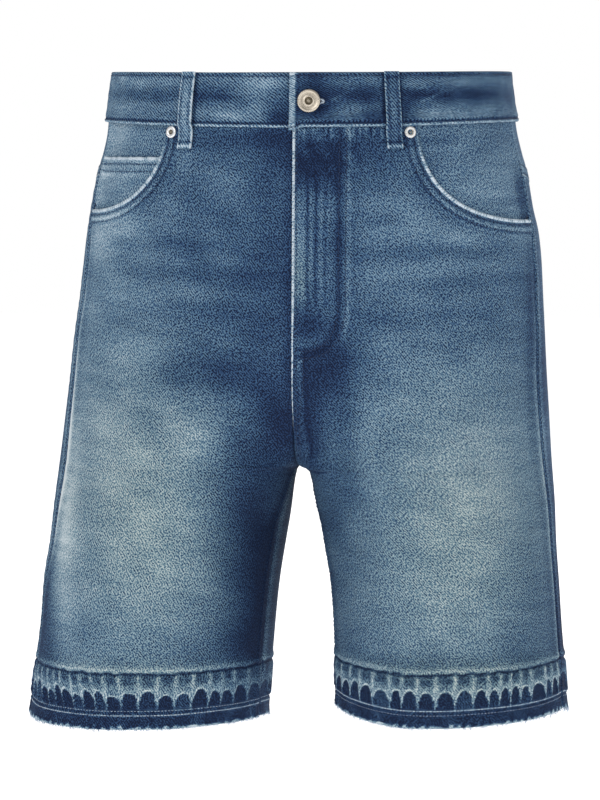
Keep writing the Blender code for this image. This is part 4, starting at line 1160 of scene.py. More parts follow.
def add_stitches(bag, path, out, pitch=STITCH_PITCH, length=STITCH_LENGTH, radius=THREAD_RADIUS,
                 slant=0.0, sides=5):
    """Capsules along a path: rings of a circle whose centres sink at both ends."""
    centre, along, up = along_path(path, out, pitch)
    beside = unit(np.cross(along, up))
    along = unit(along + slant * beside)
    beside = unit(np.cross(along, up))
    shift = STITCH_RINGS[None, :, None] * length / 2
    sink = (0.35 * radius - 1.1 * radius * STITCH_RINGS ** 4)[None, :, None]
    middle = centre[:, None, :] + along[:, None, :] * shift + up[:, None, :] * sink
    turn = np.arange(sides) * 2 * math.pi / sides
    width = (STITCH_WIDTHS * radius)[None, :, None, None]
    circle = (up[:, None, None, :] * np.cos(turn)[:, None] + beside[:, None, None, :] * np.sin(turn)[:, None])
    rings = middle[:, :, None, :] + circle * width
    count, ring_count = rings.shape[:2]
    points = np.concatenate([rings.reshape(count, -1, 3), middle[:, :1], middle[:, -1:]], axis=1)
    offset = (np.arange(count) * (ring_count * sides + 2))[:, None, None]
    quads, tris = tube_faces(ring_count, sides)
    bag.add(points, (quads[None] + offset).reshape(-1, 4), (tris[None] + offset).reshape(-1, 3))


# %% [markdown]
# ## Materials
# Denim is a 3/1 twill: three blue warp yarns show for each pale weft yarn, which draws fine
# diagonal lines. The yarns are under half a millimetre thick, too fine for the render, so the
# diagonals are drawn 1.55 mm apart, 1.9 mm on the band, and the yarns' mottle about 1 mm, as
# coarse as they need to be to show. The wash value, which also carries some painted shade, picks
# a colour from raw indigo to bare cotton.


# %% Colours and the node helper
def linear(code):
    """sRGB hex to linear RGBA."""
    parts = [int(code[k:k + 2], 16) / 255 for k in (1, 3, 5)]
    return (*(c / 12.92 if c <= 0.04045 else ((c + 0.055) / 1.055) ** 2.4 for c in parts), 1.0)


def new_material(name):
    made = bpy.data.materials.new(name)
    made.use_nodes = True
    return made, made.node_tree.nodes["Principled BSDF"]


def add_node(tree, kind, inputs=None, output=0, stops=(), **settings):
    """Adds a node with its settings and links, and returns one of its outputs.

    An input that is given a socket is linked to it, any other value is set on it. Stops are the
    places and hex colours of a colour ramp.
    """
    node = tree.nodes.new("ShaderNode" + kind)
    for key, value in settings.items():
        setattr(node, key, value)
    for key, value in (inputs or {}).items():
        if isinstance(value, bpy.types.NodeSocket):
            tree.links.new(value, node.inputs[key])
        else:
            node.inputs[key].default_value = value
    if stops:
        scale = node.color_ramp.elements
        while len(scale) < len(stops):
            scale.new(0.5)
        for element, (place, code) in zip(scale, stops):
            element.position = place
            element.color = linear(code)
    return node.outputs[output]


# %% Stonewashed denim
INDIGO_SCALE = ((0.0, "#111c35"), (0.2, "#20365a"), (0.4, "#355275"), (0.6, "#54748e"),
                (0.8, "#829daf"), (1.0, "#cad7e2"))
DUSTY = (1.10, 1.0, 0.83, 1.0)      # what dust multiplies the colour by
TWILL_ANGLE = 48.0      # slope of the diagonals
GRAIN = 0.95            # mm, the mottle of the yarns
FLOAT_STRETCH = 1.45    # how much longer a float of yarn is than it is wide
FLOAT_TOP = 0.20        # rubbed yarns end at one level, so no speck is paler than this


def denim(name, twill, pick, pitch=1.55, grain=1.75):
    """Twill cloth: two sets of diagonals, pitch mm apart, and a mottle move the wash on its scale."""
    made, shader = new_material(name)
    tree = made.node_tree
    weave = add_node(tree, "UVMap", uv_map="weave")
    wash_and_shade, inside, dust = (add_node(tree, "Attribute", output="Fac", attribute_name=key)
                          for key in ("wash_and_shade", "inside", "dust"))
    drift = add_node(tree, "TexNoise", {"Vector": weave, "Scale": 200.0, "Detail": 2.0})
    pace = 2 * math.pi / (pitch * MM)
    line = 0.0
    for angle, strength in ((TWILL_ANGLE, twill), (-TWILL_ANGLE, pick)):
        across = (-pace * math.sin(math.radians(angle)), pace * math.cos(math.radians(angle)), 0.0)
        dot = add_node(tree, "VectorMath", {0: weave, 1: across}, "Value", operation="DOT_PRODUCT")
        phase = add_node(tree, "Math", {0: drift, 1: 8.0, 2: dot}, operation="MULTIPLY_ADD")
        wave = add_node(tree, "Math", {0: phase}, operation="SINE")
        line = add_node(tree, "Math", {0: wave, 1: strength, 2: line}, operation="MULTIPLY_ADD")
    along = add_node(tree, "Mapping", {0: weave, "Scale": (FLOAT_STRETCH, 1.0, 1.0),
                                       "Rotation": (0.0, 0.0, math.radians(TWILL_ANGLE))},
                     vector_type="TEXTURE")
    fine = add_node(tree, "TexNoise", {"Vector": along, "Scale": 1 / (GRAIN * MM), "Detail": 0.0})
    speck = add_node(tree, "Math", {0: fine, 1: grain, 2: -grain / 2}, operation="MULTIPLY_ADD")
    yarns = add_node(tree, "Math", {0: line, 1: speck}, operation="ADD")
    flat_top = add_node(tree, "Math", {0: yarns, 1: FLOAT_TOP}, operation="MINIMUM")
    # The mottle is strongest on half-worn cloth: 2.4 (wash + 0.4) (1 - wash).
    slope = add_node(tree, "Math", {0: wash_and_shade, 1: -2.4, 2: 1.44}, operation="MULTIPLY_ADD")
    fade = add_node(tree, "Math", {0: wash_and_shade, 1: slope, 2: 0.96}, operation="MULTIPLY_ADD")
    mottled = add_node(tree, "Math", {0: flat_top, 1: fade, 2: wash_and_shade}, operation="MULTIPLY_ADD")
    stretched = add_node(tree, "Mapping", {0: weave, "Scale": (1.0, 0.2, 1.0)})
    slub = add_node(tree, "TexNoise", {"Vector": stretched, "Scale": 560.0, "Detail": 2.0})
    streak = add_node(tree, "Math", {0: slub, 1: 0.14, 2: -0.07}, operation="MULTIPLY_ADD")
    value = add_node(tree, "Math", {0: mottled, 1: streak}, operation="ADD", use_clamp=True)
    blue = add_node(tree, "ValToRGB", {0: value}, stops=INDIGO_SCALE)
    grey = add_node(tree, "Mix", {0: dust, 6: blue, 7: DUSTY}, 2, data_type="RGBA",
                    blend_type="MULTIPLY")
    level = add_node(tree, "Math", {0: yarns, 1: 0.5}, operation="ADD")
    back = add_node(tree, "ValToRGB", {0: level}, stops=((0.2, "#46536b"), (0.8, "#8290a3")))
    colour = add_node(tree, "Mix", {0: inside, 6: grey, 7: back}, 2, data_type="RGBA")
    tree.links.new(colour, shader.inputs["Base Color"])
    ridges = add_node(tree, "Math", {0: fine, 1: 3.0}, operation="MULTIPLY")
    height = add_node(tree, "Math", {0: line, 1: 1 / (twill + pick), 2: ridges},
                      operation="MULTIPLY_ADD")
    bump = add_node(tree, "Bump", {"Strength": 0.5, "Distance": 0.00018, "Height": height})
    tree.links.new(bump, shader.inputs["Normal"])
    shader.inputs["Roughness"].default_value = 0.9
    shader.inputs["Specular IOR Level"].default_value = 0.15
    return made


PANEL_DENIM = denim("stonewashed_denim_twill", twill=0.16, pick=0.05)
BAND_DENIM = denim("waistband_denim_twill", twill=0.30, pick=0.05, pitch=1.9, grain=1.4)


# %% Thread and metal
def thread(name, dark, light):
    """Spun polyester thread: mottled between two shades, matt."""
    made, shader = new_material(name)
    tree = made.node_tree
    spot = add_node(tree, "TexCoord", output="Object")
    mottle = add_node(tree, "TexNoise", {"Vector": spot, "Scale": 260.0, "Detail": 2.0})
    shade = add_node(tree, "ValToRGB", {0: mottle}, stops=((0.35, dark), (0.65, light)))
    tree.links.new(shade, shader.inputs["Base Color"])
    shader.inputs["Roughness"].default_value = 0.8
    return made


DARK_THREAD = thread("indigo_topstitch_thread", "#152139", "#2c4062")
PALE_THREAD = thread("faded_topstitch_thread", "#7f92aa", "#c9d5e2")
RAW_YARN = thread("raw_cotton_yarn", "#7b8fae", "#c3cedb")


def worn_nickel(name, bright, dull):
    """Nickel-plated brass, tumbled in the wash: bright high spots, dull yellowish hollows."""
    made, shader = new_material(name)
    tree = made.node_tree
    spot = add_node(tree, "TexCoord", output="Object")
    wash_and_shade = add_node(tree, "Attribute", output="Fac", attribute_name="wash_and_shade")
    patches = add_node(tree, "TexNoise", {"Vector": spot, "Scale": 900.0, "Detail": 4.0})
    lower = add_node(tree, "Math", {0: wash_and_shade, 1: 0.25}, operation="SUBTRACT")
    value = add_node(tree, "Math", {0: patches, 1: 0.5, 2: lower}, operation="MULTIPLY_ADD")
    shade = add_node(tree, "ValToRGB", {0: value},
                     stops=((0.0, "#2a2620"), (0.35, dull), (0.8, bright)))
    tree.links.new(shade, shader.inputs["Base Color"])
    rough = add_node(tree, "Math", {0: patches, 1: 0.3, 2: 0.25}, operation="MULTIPLY_ADD")
    tree.links.new(rough, shader.inputs["Roughness"])
    bump = add_node(tree, "Bump", {"Strength": 0.25, "Distance": 0.0001, "Height": patches})
    tree.links.new(bump, shader.inputs["Normal"])
    shader.inputs["Metallic"].default_value = 1.0
    return made


BUTTON_METAL = worn_nickel("tumbled_nickel_brass", "#cbc1b2", "#8a806e")
RIVET_METAL = worn_nickel("tumbled_nickel", "#e8e9ea", "#8d877a")
print("materials:", [m.name for m in bpy.data.materials if m.users])

# %% [markdown]
# ## The leg panels
# A front runs from the raw hem to the waistband, and its upper outer corner is cut away in the
# scooped pocket mouth. Rows low down are even; high up the columns move so that they end on the
# mouth's curve. The rolled edge of the mouth and of the fly are round tubes laid on the cut edge,
# because a turned and worn edge is round and nearly white.

# %% Grids for a panel
HEM_ROWS = {FRONT: 64, BACK: 48}
LEG_ROWS = {FRONT: 80, BACK: 60}
RISE_ROWS = {FRONT: 60, BACK: 56}
HIP_ROWS = {FRONT: 96, BACK: 60}
FRONT_COLUMNS = (112, 116)      # to the mouth, and across it
BACK_COLUMNS = 160
FACING_WAY = {FRONT: 1, BACK: -1}   # so that the twill slopes the same way on all panels
CROTCH_SHADE_REACH = 36.0      # mm round the crotch where the inside is painted dark: painted shade deep in the crotch, where four seams meet
pieces = {}


def column_places(side, face):
    """Column places across a panel: even low down, and those of the pocket mouth high up."""
    if face == BACK:
        even = np.linspace(0, 1, BACK_COLUMNS + 1)
        return even, even
    start = mouth_start(side)
    mouth, _ = mouth_line(side, mouth_shares(FRONT_COLUMNS[1]), start, MOUTH_FOOT[side])
    high = np.concatenate([np.linspace(0, start, FRONT_COLUMNS[0] + 1), mouth[1:]])
    return np.linspace(0, 1, sum(FRONT_COLUMNS) + 1), high


def panel_levels(side, face):
    """across and level of every grid point: hem, leg, rise, then up to the seam or the mouth."""
    even, high = column_places(side, face)
    leg = CROTCH - HEM[side]
    hem_top = HEM_BAND / leg
    low = np.concatenate([np.linspace(0, hem_top, HEM_ROWS[face] + 1)[:-1],
                          np.linspace(hem_top, 1, LEG_ROWS[face] + 1)[:-1],
                          1 + np.linspace(0, 1, RISE_ROWS[face] + 1)])[:, None]
    share = np.linspace(0, 1, HIP_ROWS[face] + 1)[1:, None]
    if face == FRONT:
        _, mouth_z = mouth_line(side, mouth_shares(FRONT_COLUMNS[1]), mouth_start(side),
                                MOUTH_FOOT[side])
        top = np.concatenate([panel_top(side, FRONT, high[:FRONT_COLUMNS[0] + 1]), mouth_z[1:]])
    else:
        top = yoke_foot(high) - EDGE
    across = np.concatenate([even + 0 * low, mix(even, high, smoothstep(share * 1.4))])
    base = CROTCH + RISE[face]
    level = np.concatenate([low + 0 * even, climb_at(face, mix(base, top, share))])
    return across, level


def hold_middle(points, side, face):
    """Keep every point above the crotch on its own side of the middle seam."""
    z = points[..., 2]
    middle = centre_x(z) + (fly_shift(z) if face == FRONT else 0.0)
    middle = np.where(z < CROTCH - 0.01, centre_x(CROTCH), middle)
    held = points.copy()
    held[..., 0] = middle + side * np.maximum(side * (points[..., 0] - middle), EDGE)
    return held


def add_panel(bag, side, face):
    across, level = panel_levels(side, face)
    outer, out, place = cloth(side, face, across, level)
    inner = hold_middle(outer - out * CLOTH, side, face)
    outer = hold_middle(outer, side, face)
    runs = run_lengths(outer)
    weave = np.stack([side * FACING_WAY[face] * (runs[:, -1:] - runs), outer[..., 2]], -1)
    from_crotch = np.hypot(outer[..., 0] - centre_x(CROTCH), outer[..., 2] - CROTCH)
    # Near the crotch the inside takes the dark inner tone, not the pale one: painted shade inside the garment.
    add_wall(bag, outer, inner, panel_wash_and_shade(place), weave, inner_tone=0.1, dust=dusty(place),
             shaded_inside=1 - smoothstep((from_crotch - CROTCH_SHADE_REACH) / CROTCH_SHADE_REACH))


# %% Edges that are turned and worn white
MOUTH_ROLL = (0.85, 1.35)       # radius of the turned edge, high up and low down


def rope_wear(path, level, seed):
    """Wash along a turned edge: pale, with the twist of the shrunken seam in it."""
    length = path_length(path)
    return level + 0.14 * waves(length, 0 * length, 9.0, seed)


def add_mouth_edge(bag, side):
    across, z = mouth_line(side, mouth_shares(200), mouth_start(side), MOUTH_FOOT[side])
    points, out, _ = cloth(side, FRONT, across, climb_at(FRONT, z))
    low = smoothstep((-46.0 - z) / 30.0)
    add_tube(bag, points - out * 0.45, out, mix(*MOUTH_ROLL, low),
             rope_wear(points, mix(0.6, 1.02, low), 3), 0.5)


def add_fly_edge(bag):
    """The left front's edge, from the waistband to where the seams meet under the crotch."""
    level = np.concatenate([np.linspace(climb_at(FRONT, BAND_FOOT_FRONT - 0.5), 2.0, 170)[:-1],
                            np.linspace(2.0, 1.25, 60)])
    points, out, _ = cloth(1, FRONT, 0.0 * level, level)
    radius = 0.8 + 0.3 * smoothstep((points[:, 2] + 260.0) / 120.0)
    add_tube(bag, points - out * 0.3, out, radius, rope_wear(points, 1.05, 4), 0.7)


for side in (1, -1):
    for face in (FRONT, BACK):
        bag = Bag()
        add_panel(bag, side, face)
        if face == FRONT:
            add_mouth_edge(bag, side)
            if side > 0:
                add_fly_edge(bag)
        node = f"{face}_{side_name(side)}"
        pieces[node] = bag.make(f"{node}_cloth", PANEL_DENIM)

# %% [markdown]
# ## Yokes, facings and pockets
# These lie on or under a panel, so each is the panel's own face moved out or in by a ply. The back
# pockets are patches with a pointed foot. The coin pocket lies on the facing inside the wearer's
# right pocket mouth, and its top edge has frayed.


# %% Pieces that follow a panel
def along_panel(side, face, across, level, lift):
    """The panel's face moved out by lift, with its folds but without its seams' small relief."""
    base = surface(side, face, across, level)
    out = normals(side, face, across, level)
    push = fold_push(base, face, across, FOLDS) + fly_push(side, face, across, base[..., 2])
    return base + out * (push + lift)[..., None], out, place_on(base, side, face, across)


def add_layer(bag, side, face, across, level, lift, wash_and_shade):
    points, out, _ = along_panel(side, face, across, level, lift)
    runs = run_lengths(points)
    weave = np.stack([side * FACING_WAY[face] * (runs[:, -1:] - runs), points[..., 2]], -1)
    add_wall(bag, points, points - out * CLOTH, wash_and_shade, weave)
    return points, out


def plain_wash(place, level, seed):
    x, z = place["x"], place["z"]
    return level + 0.05 * waves(x, z, 30.0, seed) + 0.04 * waves(x * 0.5, z, 11.0, seed + 1)


for side in (1, -1):
    bag = Bag()
    across = np.linspace(0, 1, 145)[None, :]
    share = np.linspace(0, 1, 49)[:, None]
    z = mix(yoke_foot(across) + EDGE, panel_top(side, BACK, across), share)
    across = across + 0 * z
    level = climb_at(BACK, z)
    height = z - yoke_foot(across)
    ripple = ripples(across * 150.0 + 2.0 * np.sin(across * 23.0))
    relief = 0.7 * smoothstep((10.0 - height) / 1.2) - 0.4 * bells(height, (2.0, 8.0), 0.8)
    relief += 0.25 * ripple * bell((height - 12.0) / 4.0)
    _, _, place = along_panel(side, BACK, across, level, 0.0)
    wash_and_shade = plain_wash(place, BASE_WASH + 0.02, 31) + oval_sum(place, WASH_AND_SHADE)
    wash_and_shade += 0.32 * bell(height / 1.2) + 0.10 * ripple * bell((height - 6.0) / 3.0)
    wash_and_shade -= 0.12 * bells(height, (2.4, 8.6), 0.9)
    wash_and_shade += 0.14 * bell(((1 - across) * 160.0 - 3.0) / 2.5)
    add_layer(bag, side, BACK, across, level, relief, wash_and_shade)
    pieces[f"yoke_{side_name(side)}"] = bag.make(f"yoke_{side_name(side)}_cloth", PANEL_DENIM)

# %% Pocket facings and the coin pocket
FACING_WASH = {
    (FRONT, 1): (
        (142, -86, 26, 20, 20, 0.12),
        (98, -78, 8, 22, 0, -0.06),
    ),
    (FRONT, -1): (
        (-160, -84, 14, 24, 0, 0.22),
        (-138, -48, 24, 12, 0, 0.22),
        (-120, -54, 22, 8, 0, -0.08),
    ),
}
for side in (1, -1):
    bag = Bag()
    share = np.concatenate([[0.0], mouth_shares(87)])
    low_across, low_z = mouth_line(side, share, mouth_start(side) - FACING_REACH,
                                   MOUTH_FOOT[side] - FACING_FOOT)
    top = panel_top(side, FRONT, low_across)
    low_z = np.minimum(low_z, top - FACING_HEIGHT)
    rows = np.linspace(0, 1, 65)[:, None]
    across = low_across[None, :] + 0 * rows
    z = mix(low_z[None, :], top[None, :] + 1.5, rows)
    plies = 2 if side < 0 else 1
    level = climb_at(FRONT, z)
    _, _, place = along_panel(side, FRONT, across, level, 0.0)
    wash_and_shade = plain_wash(place, 0.57 if side < 0 else 0.52, 41) + oval_sum(place, FACING_WASH)
    # Painted shade: the wearer's left facing darkens towards the side seam, where it turns away from the light.
    wash_and_shade -= 0.30 * smoothstep((across - 0.9) / 0.06) * smoothstep((-66.0 - z) / 20.0) * (side > 0)
    at_seam = smoothstep((across - 0.93) / 0.06) * smoothstep((z - MOUTH_FOOT[side] - 2.0) / 6.0)
    add_layer(bag, side, FRONT, across, level, -plies * (CLOTH + PLY_GAP) * (1 - at_seam), wash_and_shade)
    node = f"pocket_facing_{side_name(side)}"
    pieces[node] = bag.make(f"{node}_cloth", PANEL_DENIM)

bag = Bag()
across = mix(mouth_start(-1), 1.0, np.linspace(*COIN_ACROSS, 81))[None, :]
rows = np.linspace(0, 1, 61)[:, None]
z = mix(COIN_FOOT, COIN_TOP, rows) + 0 * across
across = across + 0 * z
below_top = COIN_TOP - z
level = climb_at(FRONT, z)
_, _, place = along_panel(-1, FRONT, across, level, 0.0)
wash_and_shade = plain_wash(place, 0.64, 45) + oval_sum(place, FACING_WASH)
wash_and_shade += 0.12 * bell((below_top - 1.2) / 1.2) + 0.10 * bell((below_top - 12.0) / 2.0)
wash_and_shade += 0.12 * ripples(across * 330.0) * bell((below_top - 6.0) / 2.5)
wash_and_shade -= 0.16 * bells(below_top, COIN_ROWS, 0.8)
relief = 0.35 * smoothstep((11.0 - below_top) / 1.5) - 0.3 * bells(below_top, COIN_ROWS, 0.8)
at_seam = smoothstep((across - 0.93) / 0.06)
lift = relief - (CLOTH + PLY_GAP) * (1 - at_seam) + 0.9 * at_seam
coin_points, coin_out = add_layer(bag, -1, FRONT, across, level, lift, wash_and_shade)
edge = coin_points[-1]
add_tube(bag, edge - coin_out[-1] * 0.3, coin_out[-1],
         1.15 + 0.3 * waves(edge[:, 0], 0 * edge[:, 0], 5.0, 6), rope_wear(edge, 1.0, 7), 0.3)
pieces["coin_pocket"] = bag.make("coin_pocket_cloth", PANEL_DENIM)

# %% Back pockets
BACK_POCKET_TOP = (-126.0, -121.0)
BACK_POCKET_TOP_X = (37.0, 150.0)
BACK_POCKET_FOOT = -262.0
BACK_POCKET_FOOT_X = (41.0, 139.0)
BACK_POCKET_POINT = 20.0
BACK_POCKET_GAP = 0.9
BACK_POCKET_SPAN = (112.0, 136.0)   # width and height of the stitched patch
BACK_POCKET_HEM = 14.0              # depth of the turned top
BACK_POCKET_ROWS = (2.6, 8.4)       # stitch rows in from the edge
pocket_grids = {}
for side in (1, -1):
    bag = Bag()
    share = np.linspace(0, 1, 113)[:, None]
    place_across = np.linspace(0, 1, 97)
    spread = 1 - (1 - place_across) ** 1.3
    inner_x = mix(BACK_POCKET_FOOT_X[0], BACK_POCKET_TOP_X[0], share)
    outer_x = mix(BACK_POCKET_FOOT_X[1], BACK_POCKET_TOP_X[1], share)
    foot = BACK_POCKET_FOOT - BACK_POCKET_POINT * (1 - np.abs(2 * place_across - 1))
    z = mix(foot, mix(*BACK_POCKET_TOP, place_across), share)
    x = side * mix(inner_x, outer_x, spread)
    across, level = find_place(side, BACK, x, z)
    width = BACK_POCKET_TOP_X[1] - BACK_POCKET_TOP_X[0]
    height = BACK_POCKET_TOP[0] - BACK_POCKET_FOOT
    in_from = np.minimum(np.minimum(spread, 1 - spread) * width + 0 * share, share * height)
    below_top = (1 - share) * height + 0 * spread
    _, _, place = along_panel(side, BACK, across, level, 0.0)
    ripple = ripples(place["x"] * 0.62 + place["z"] * 0.66)
    wash_and_shade = plain_wash(place, BASE_WASH + 0.02, 51) + oval_sum(place, WASH_AND_SHADE)
    wash_and_shade += 0.30 * bell(in_from / 1.3) + 0.10 * ripple * bell((in_from - 5.0) / 2.5)
    wash_and_shade -= 0.14 * bells(in_from, BACK_POCKET_ROWS, 0.9)
    wash_and_shade += 0.30 * bell(below_top / 1.4) - 0.14 * bell((below_top - BACK_POCKET_HEM) / 0.9)
    wash_and_shade += 0.06 * ripple * bell((below_top - 8.0) / 5.0)
    relief = 0.3 * smoothstep((10.0 - in_from) / 1.2) + 0.35 * smoothstep((15.0 - below_top) / 1.2)
    relief = relief - 0.35 * bells(in_from, BACK_POCKET_ROWS, 0.8)
    relief = relief - 0.7 * smoothstep((1.2 - in_from) / 1.2) + 0.25 * ripple * bell((in_from - 5.5) / 2.5)
    points, out = add_layer(bag, side, BACK, across, level, relief + BACK_POCKET_GAP + CLOTH, wash_and_shade)
    pocket_grids[side] = (points, out)
    node = f"back_pocket_{side_name(side)}"
    pieces[node] = bag.make(f"{node}_cloth", PANEL_DENIM)

# %% [markdown]
# ## The waistband
# A waistband is one strip folded double, so its top edge is a fold and its lower edge is turned in
# over the panels. Its section, a flat oval, is carried round the waist once and a bit more: the
# wearer's left end lies over the right one. It was cut along the warp, so its twill runs the other
# way from the panels', and its wash lies in streaks along it.

# %% The waist ring
BAND_LIFT = 1.3
BAND_FLARE = 1.3
BAND_THICKNESS = 3.0
LAP_END_X = 0.6
LOOP_WIDTH = 12.0
LOOP_ANGLES = (-128.0, -27.9, 26.8, 128.0, 180.0)
LAP_UNDER_X = 38.0
LAP_FADE = 55.0
LAP_DROOP = 2.4         # the lapped end hangs a little lower than the rest
LAP_OFFSET = BAND_THICKNESS / 2 + 0.3
WAIST_RUN = 2.6
BUTTON_X = 15.0
BUTTON_Z = -24.0
BUTTONHOLE_X = (12.0, 25.4)
BUTTONHOLE_HALF = 1.7
BAND_ROWS = (2.6, 37.0)     # stitch rows below the band's top


def waist_point(angle, z):
    """Panels' face at an angle in degrees from the front, positive to the wearer's left."""
    left = np.stack(hip_ring(1, np.radians(np.abs(angle)), z), -1)
    right = np.stack(hip_ring(-1, np.radians(np.abs(angle)), z), -1)
    flat = np.where((angle >= 0)[..., None], left, right)
    return np.concatenate([flat, (z + 0 * angle)[..., None]], axis=-1)


def waist_normal(angle, z):
    step = 0.3
    around = waist_point(angle + step, z) - waist_point(angle - step, z)
    upward = waist_point(angle, z + 0.5) - waist_point(angle, z - 0.5)
    return unit(np.cross(around, upward))


def ring_angle(x, z):
    """Angle in degrees of a place x on the front of the hips: an arcsine of its share."""
    away = x - centre_x(z)
    left = smooth_table(HIPS, HIP_COLUMNS, "left", z) - centre_x(z)
    right = centre_x(z) - smooth_table(HIPS, HIP_COLUMNS, "right", z)
    share = np.abs(away) / np.where(away > 0, left, right)
    return np.sign(away) * np.degrees(np.arcsin(share ** (HIP_SQUARENESS / 2)))


def band_angle(x):
    return float(ring_angle(np.array(x), np.array(BUTTON_Z)))


def band_lift(turn, z):
    """How far the waistband's face stands outside the panels' face."""
    down = (band_top(turn) - z) / (band_top(turn) - band_foot(turn))
    return BAND_LIFT + BAND_FLARE * np.clip(down, 0, 1) ** 3


def lap_shift(run, start, stop):
    """Offset of the band along its run: its first end lies under, its last end over."""
    lap_line = WAIST_RUN * (start - band_angle(LAP_END_X))
    under = 1 - smoothstep((WAIST_RUN * np.abs(run - start) - lap_line) / LAP_FADE)
    over = 1 - smoothstep((WAIST_RUN * np.abs(run - stop) - lap_line) / LAP_FADE)
    return LAP_OFFSET * (over - under)


# %% Its section, its wash and its painted shade
BAND_STREAK_COLUMNS = ("x", "down", "wide", "high", "tilt", "wash_and_shade")
BAND_STREAKS_AND_SHADE = (
    # x along the front and down from the top edge, in mm
    (-112, 17, 34, 4.5, 0, -0.16),
    (-108, 7, 34, 5, 0, 0.21),
    (-104, 26, 40, 4.5, 0, 0.12),
    (-108, 34, 40, 3, 0, 0.04),
    (-62, 5, 22, 4, 0, 0.1),
    (-50, 17.5, 8, 2.5, 0, -0.2),
    (-68, 16, 12, 5, 0, -0.1),
    (-30, 12, 16, 9, -35, 0.16),
    (-14, 6, 19, 5.5, 0, 0.2),
    (-44, 31, 26, 6, 0, 0.21),
    (-10, 30, 12, 8, 40, -0.24),
    (14, 6, 12, 7, 0, -0.14),
    (50, 6, 22, 5, 0, 0.14),
    (19, 23, 18, 9, 0, -0.32),
    (40, 15.5, 15, 3.5, 0, -0.18),
    (56, 17, 9, 7, 0, -0.22),
    (48, 27, 22, 4, 0, 0.16),
    (30, 21, 12, 1.3, -28, 0.22),
    (14, 35, 8, 4, 0, 0.1),
    (98, 16.5, 22, 4, 0, -0.24),
    (130, 17.5, 16, 4, 0, -0.24),
    (104, 8, 40, 4, 0, 0.16),
    (112, 3, 40, 2.5, 0, -0.04),
    (108, 31, 40, 7, 0, 0.29),
    (99, 19, 9, 1, -27, 0.26),
    (84, 27, 8, 8, 0, -0.12),
    (88, 19, 80, 40, 0, -0.11),
    (-62, 12, 10, 18, 0, -0.09),
    (-40, 20, 12, 6, 0, -0.12),
    (-20, 24, 9, 11, 0, 0.2),
    (-6, 7, 8, 5, 0, 0.12),
    (-140, 20, 24, 40, 0, 0.13),
    # Painted shadow round the button.
    (15.2, 21, 11.5, 11.5, 0, -0.24),
    (130, 6, 14, 4, 0, 0.1),
    (-6, 36, 8, 6, 0, -0.22),
    (24, 8, 11, 6, 0, -0.14),
    (70, 30, 16, 9, 0, -0.25),
)


def band_wash_and_shade(x, y, down, length, height):
    """Streaks along the band, a light roll at its foot, a thin worn line at its top, and a painted shadow round
    the button.
    """
    wash_and_shade = 0.42 + 0.05 * waves(length * 0.35, down, 7.0, 61) + 0.05 * waves(length, down, 22.0, 62)
    front = smoothstep((20.0 - y) / 40.0)
    for streak in rows_of(BAND_STREAK_COLUMNS, BAND_STREAKS_AND_SHADE):
        turn = math.radians(streak["tilt"])
        u = (x - streak["x"]) * math.cos(turn) + (down - streak["down"]) * math.sin(turn)
        v = (down - streak["down"]) * math.cos(turn) - (x - streak["x"]) * math.sin(turn)
        wash_and_shade += front * streak["wash_and_shade"] * bell(u / streak["wide"]) * bell(v / streak["high"])
    wash_and_shade += (1 - front) * (0.10 * bell((down - 28.0) / 7.0) - 0.10 * bell((down - 17.0) / 5.0))
    from_foot = height - down
    wash_and_shade -= 0.42 * bell((from_foot - 3.0) / 0.8)
    twist = smoothstep(np.sin(length * 2.1 + down * 2.0))
    roll = 0.82 - 0.26 * twist + 0.07 * waves(length, 0 * length, 9.0, 63)
    wash_and_shade = mix(wash_and_shade, roll, smoothstep((1.7 - from_foot) / 0.5))
    wash_and_shade += 0.16 * bell(down / 0.9) - 0.16 * bell((down - 2.2) / 0.9)
    return wash_and_shade


FACE_ROWS, FOLD_ROWS, INNER_ROWS = 44, 6, 10
start = band_angle(LAP_UNDER_X)
stop = band_angle(LAP_END_X) - 360.0
run = np.linspace(start, stop, 721)
angle = wrapped(run)
turn = np.radians(angle)
from_end = WAIST_RUN * (run - stop)
foot_z = band_foot(turn) - 0.6 - LAP_DROOP * smoothstep((7.0 - from_end) / 5.0)
top_z = band_top(turn)
half = BAND_THICKNESS / 2
corner = np.linspace(0, math.pi, FOLD_ROWS + 2)[1:-1]
# Section once round: up the face, over the top fold, down the inside, round the lower edge.
up = np.concatenate([np.linspace(0, 1, FACE_ROWS), np.ones(FOLD_ROWS), np.linspace(1, 0, INNER_ROWS),
                     np.zeros(FOLD_ROWS)])
depth = np.concatenate([np.ones(FACE_ROWS), np.cos(corner), -np.ones(INNER_ROWS), -np.cos(corner)])
bulge = np.concatenate([np.zeros(FACE_ROWS), np.sin(corner), np.zeros(INNER_ROWS), -np.sin(corner)])
z = mix(foot_z[None, :] + 1.2, top_z[None, :] - 1.2, up[:, None]) + 1.2 * bulge[:, None]
angles = angle[None, :] + 0 * z
base = waist_point(angles, z)
out = waist_normal(angles, z)
length = WAIST_RUN * (start - run)[None, :] + 0 * z
down = top_z[None, :] - z
height = (top_z - foot_z)[None, :] + 0 * z
face_out = band_lift(turn[None, :], z) + lap_shift(run, start, stop)[None, :]
from_foot = height - down
wobble = 0.3 * waves(length * 0.5, down, 9.0, 65)
wobble += 0.25 * np.sin(length * 0.55) * bell((from_foot - 5.0) / 4.0)
wobble += -0.5 * bell((from_foot - 3.2) / 0.8) - 0.25 * bell((down - 2.4) / 0.8)
outward = depth[:, None] > 0.5
stand = face_out - half + depth[:, None] * half + np.where(outward, wobble, 0.0)
points = base + out * stand[..., None]
wash_and_shade = band_wash_and_shade(base[..., 0], base[..., 1], down, length, height)
end_left = from_end[None, :] + 0 * z
end_strip = smoothstep((3.4 - end_left) / 0.6)
face_wash_and_shade = mix(wash_and_shade, 0.76 + 0.10 * waves(length, down, 5.0, 64), end_strip)
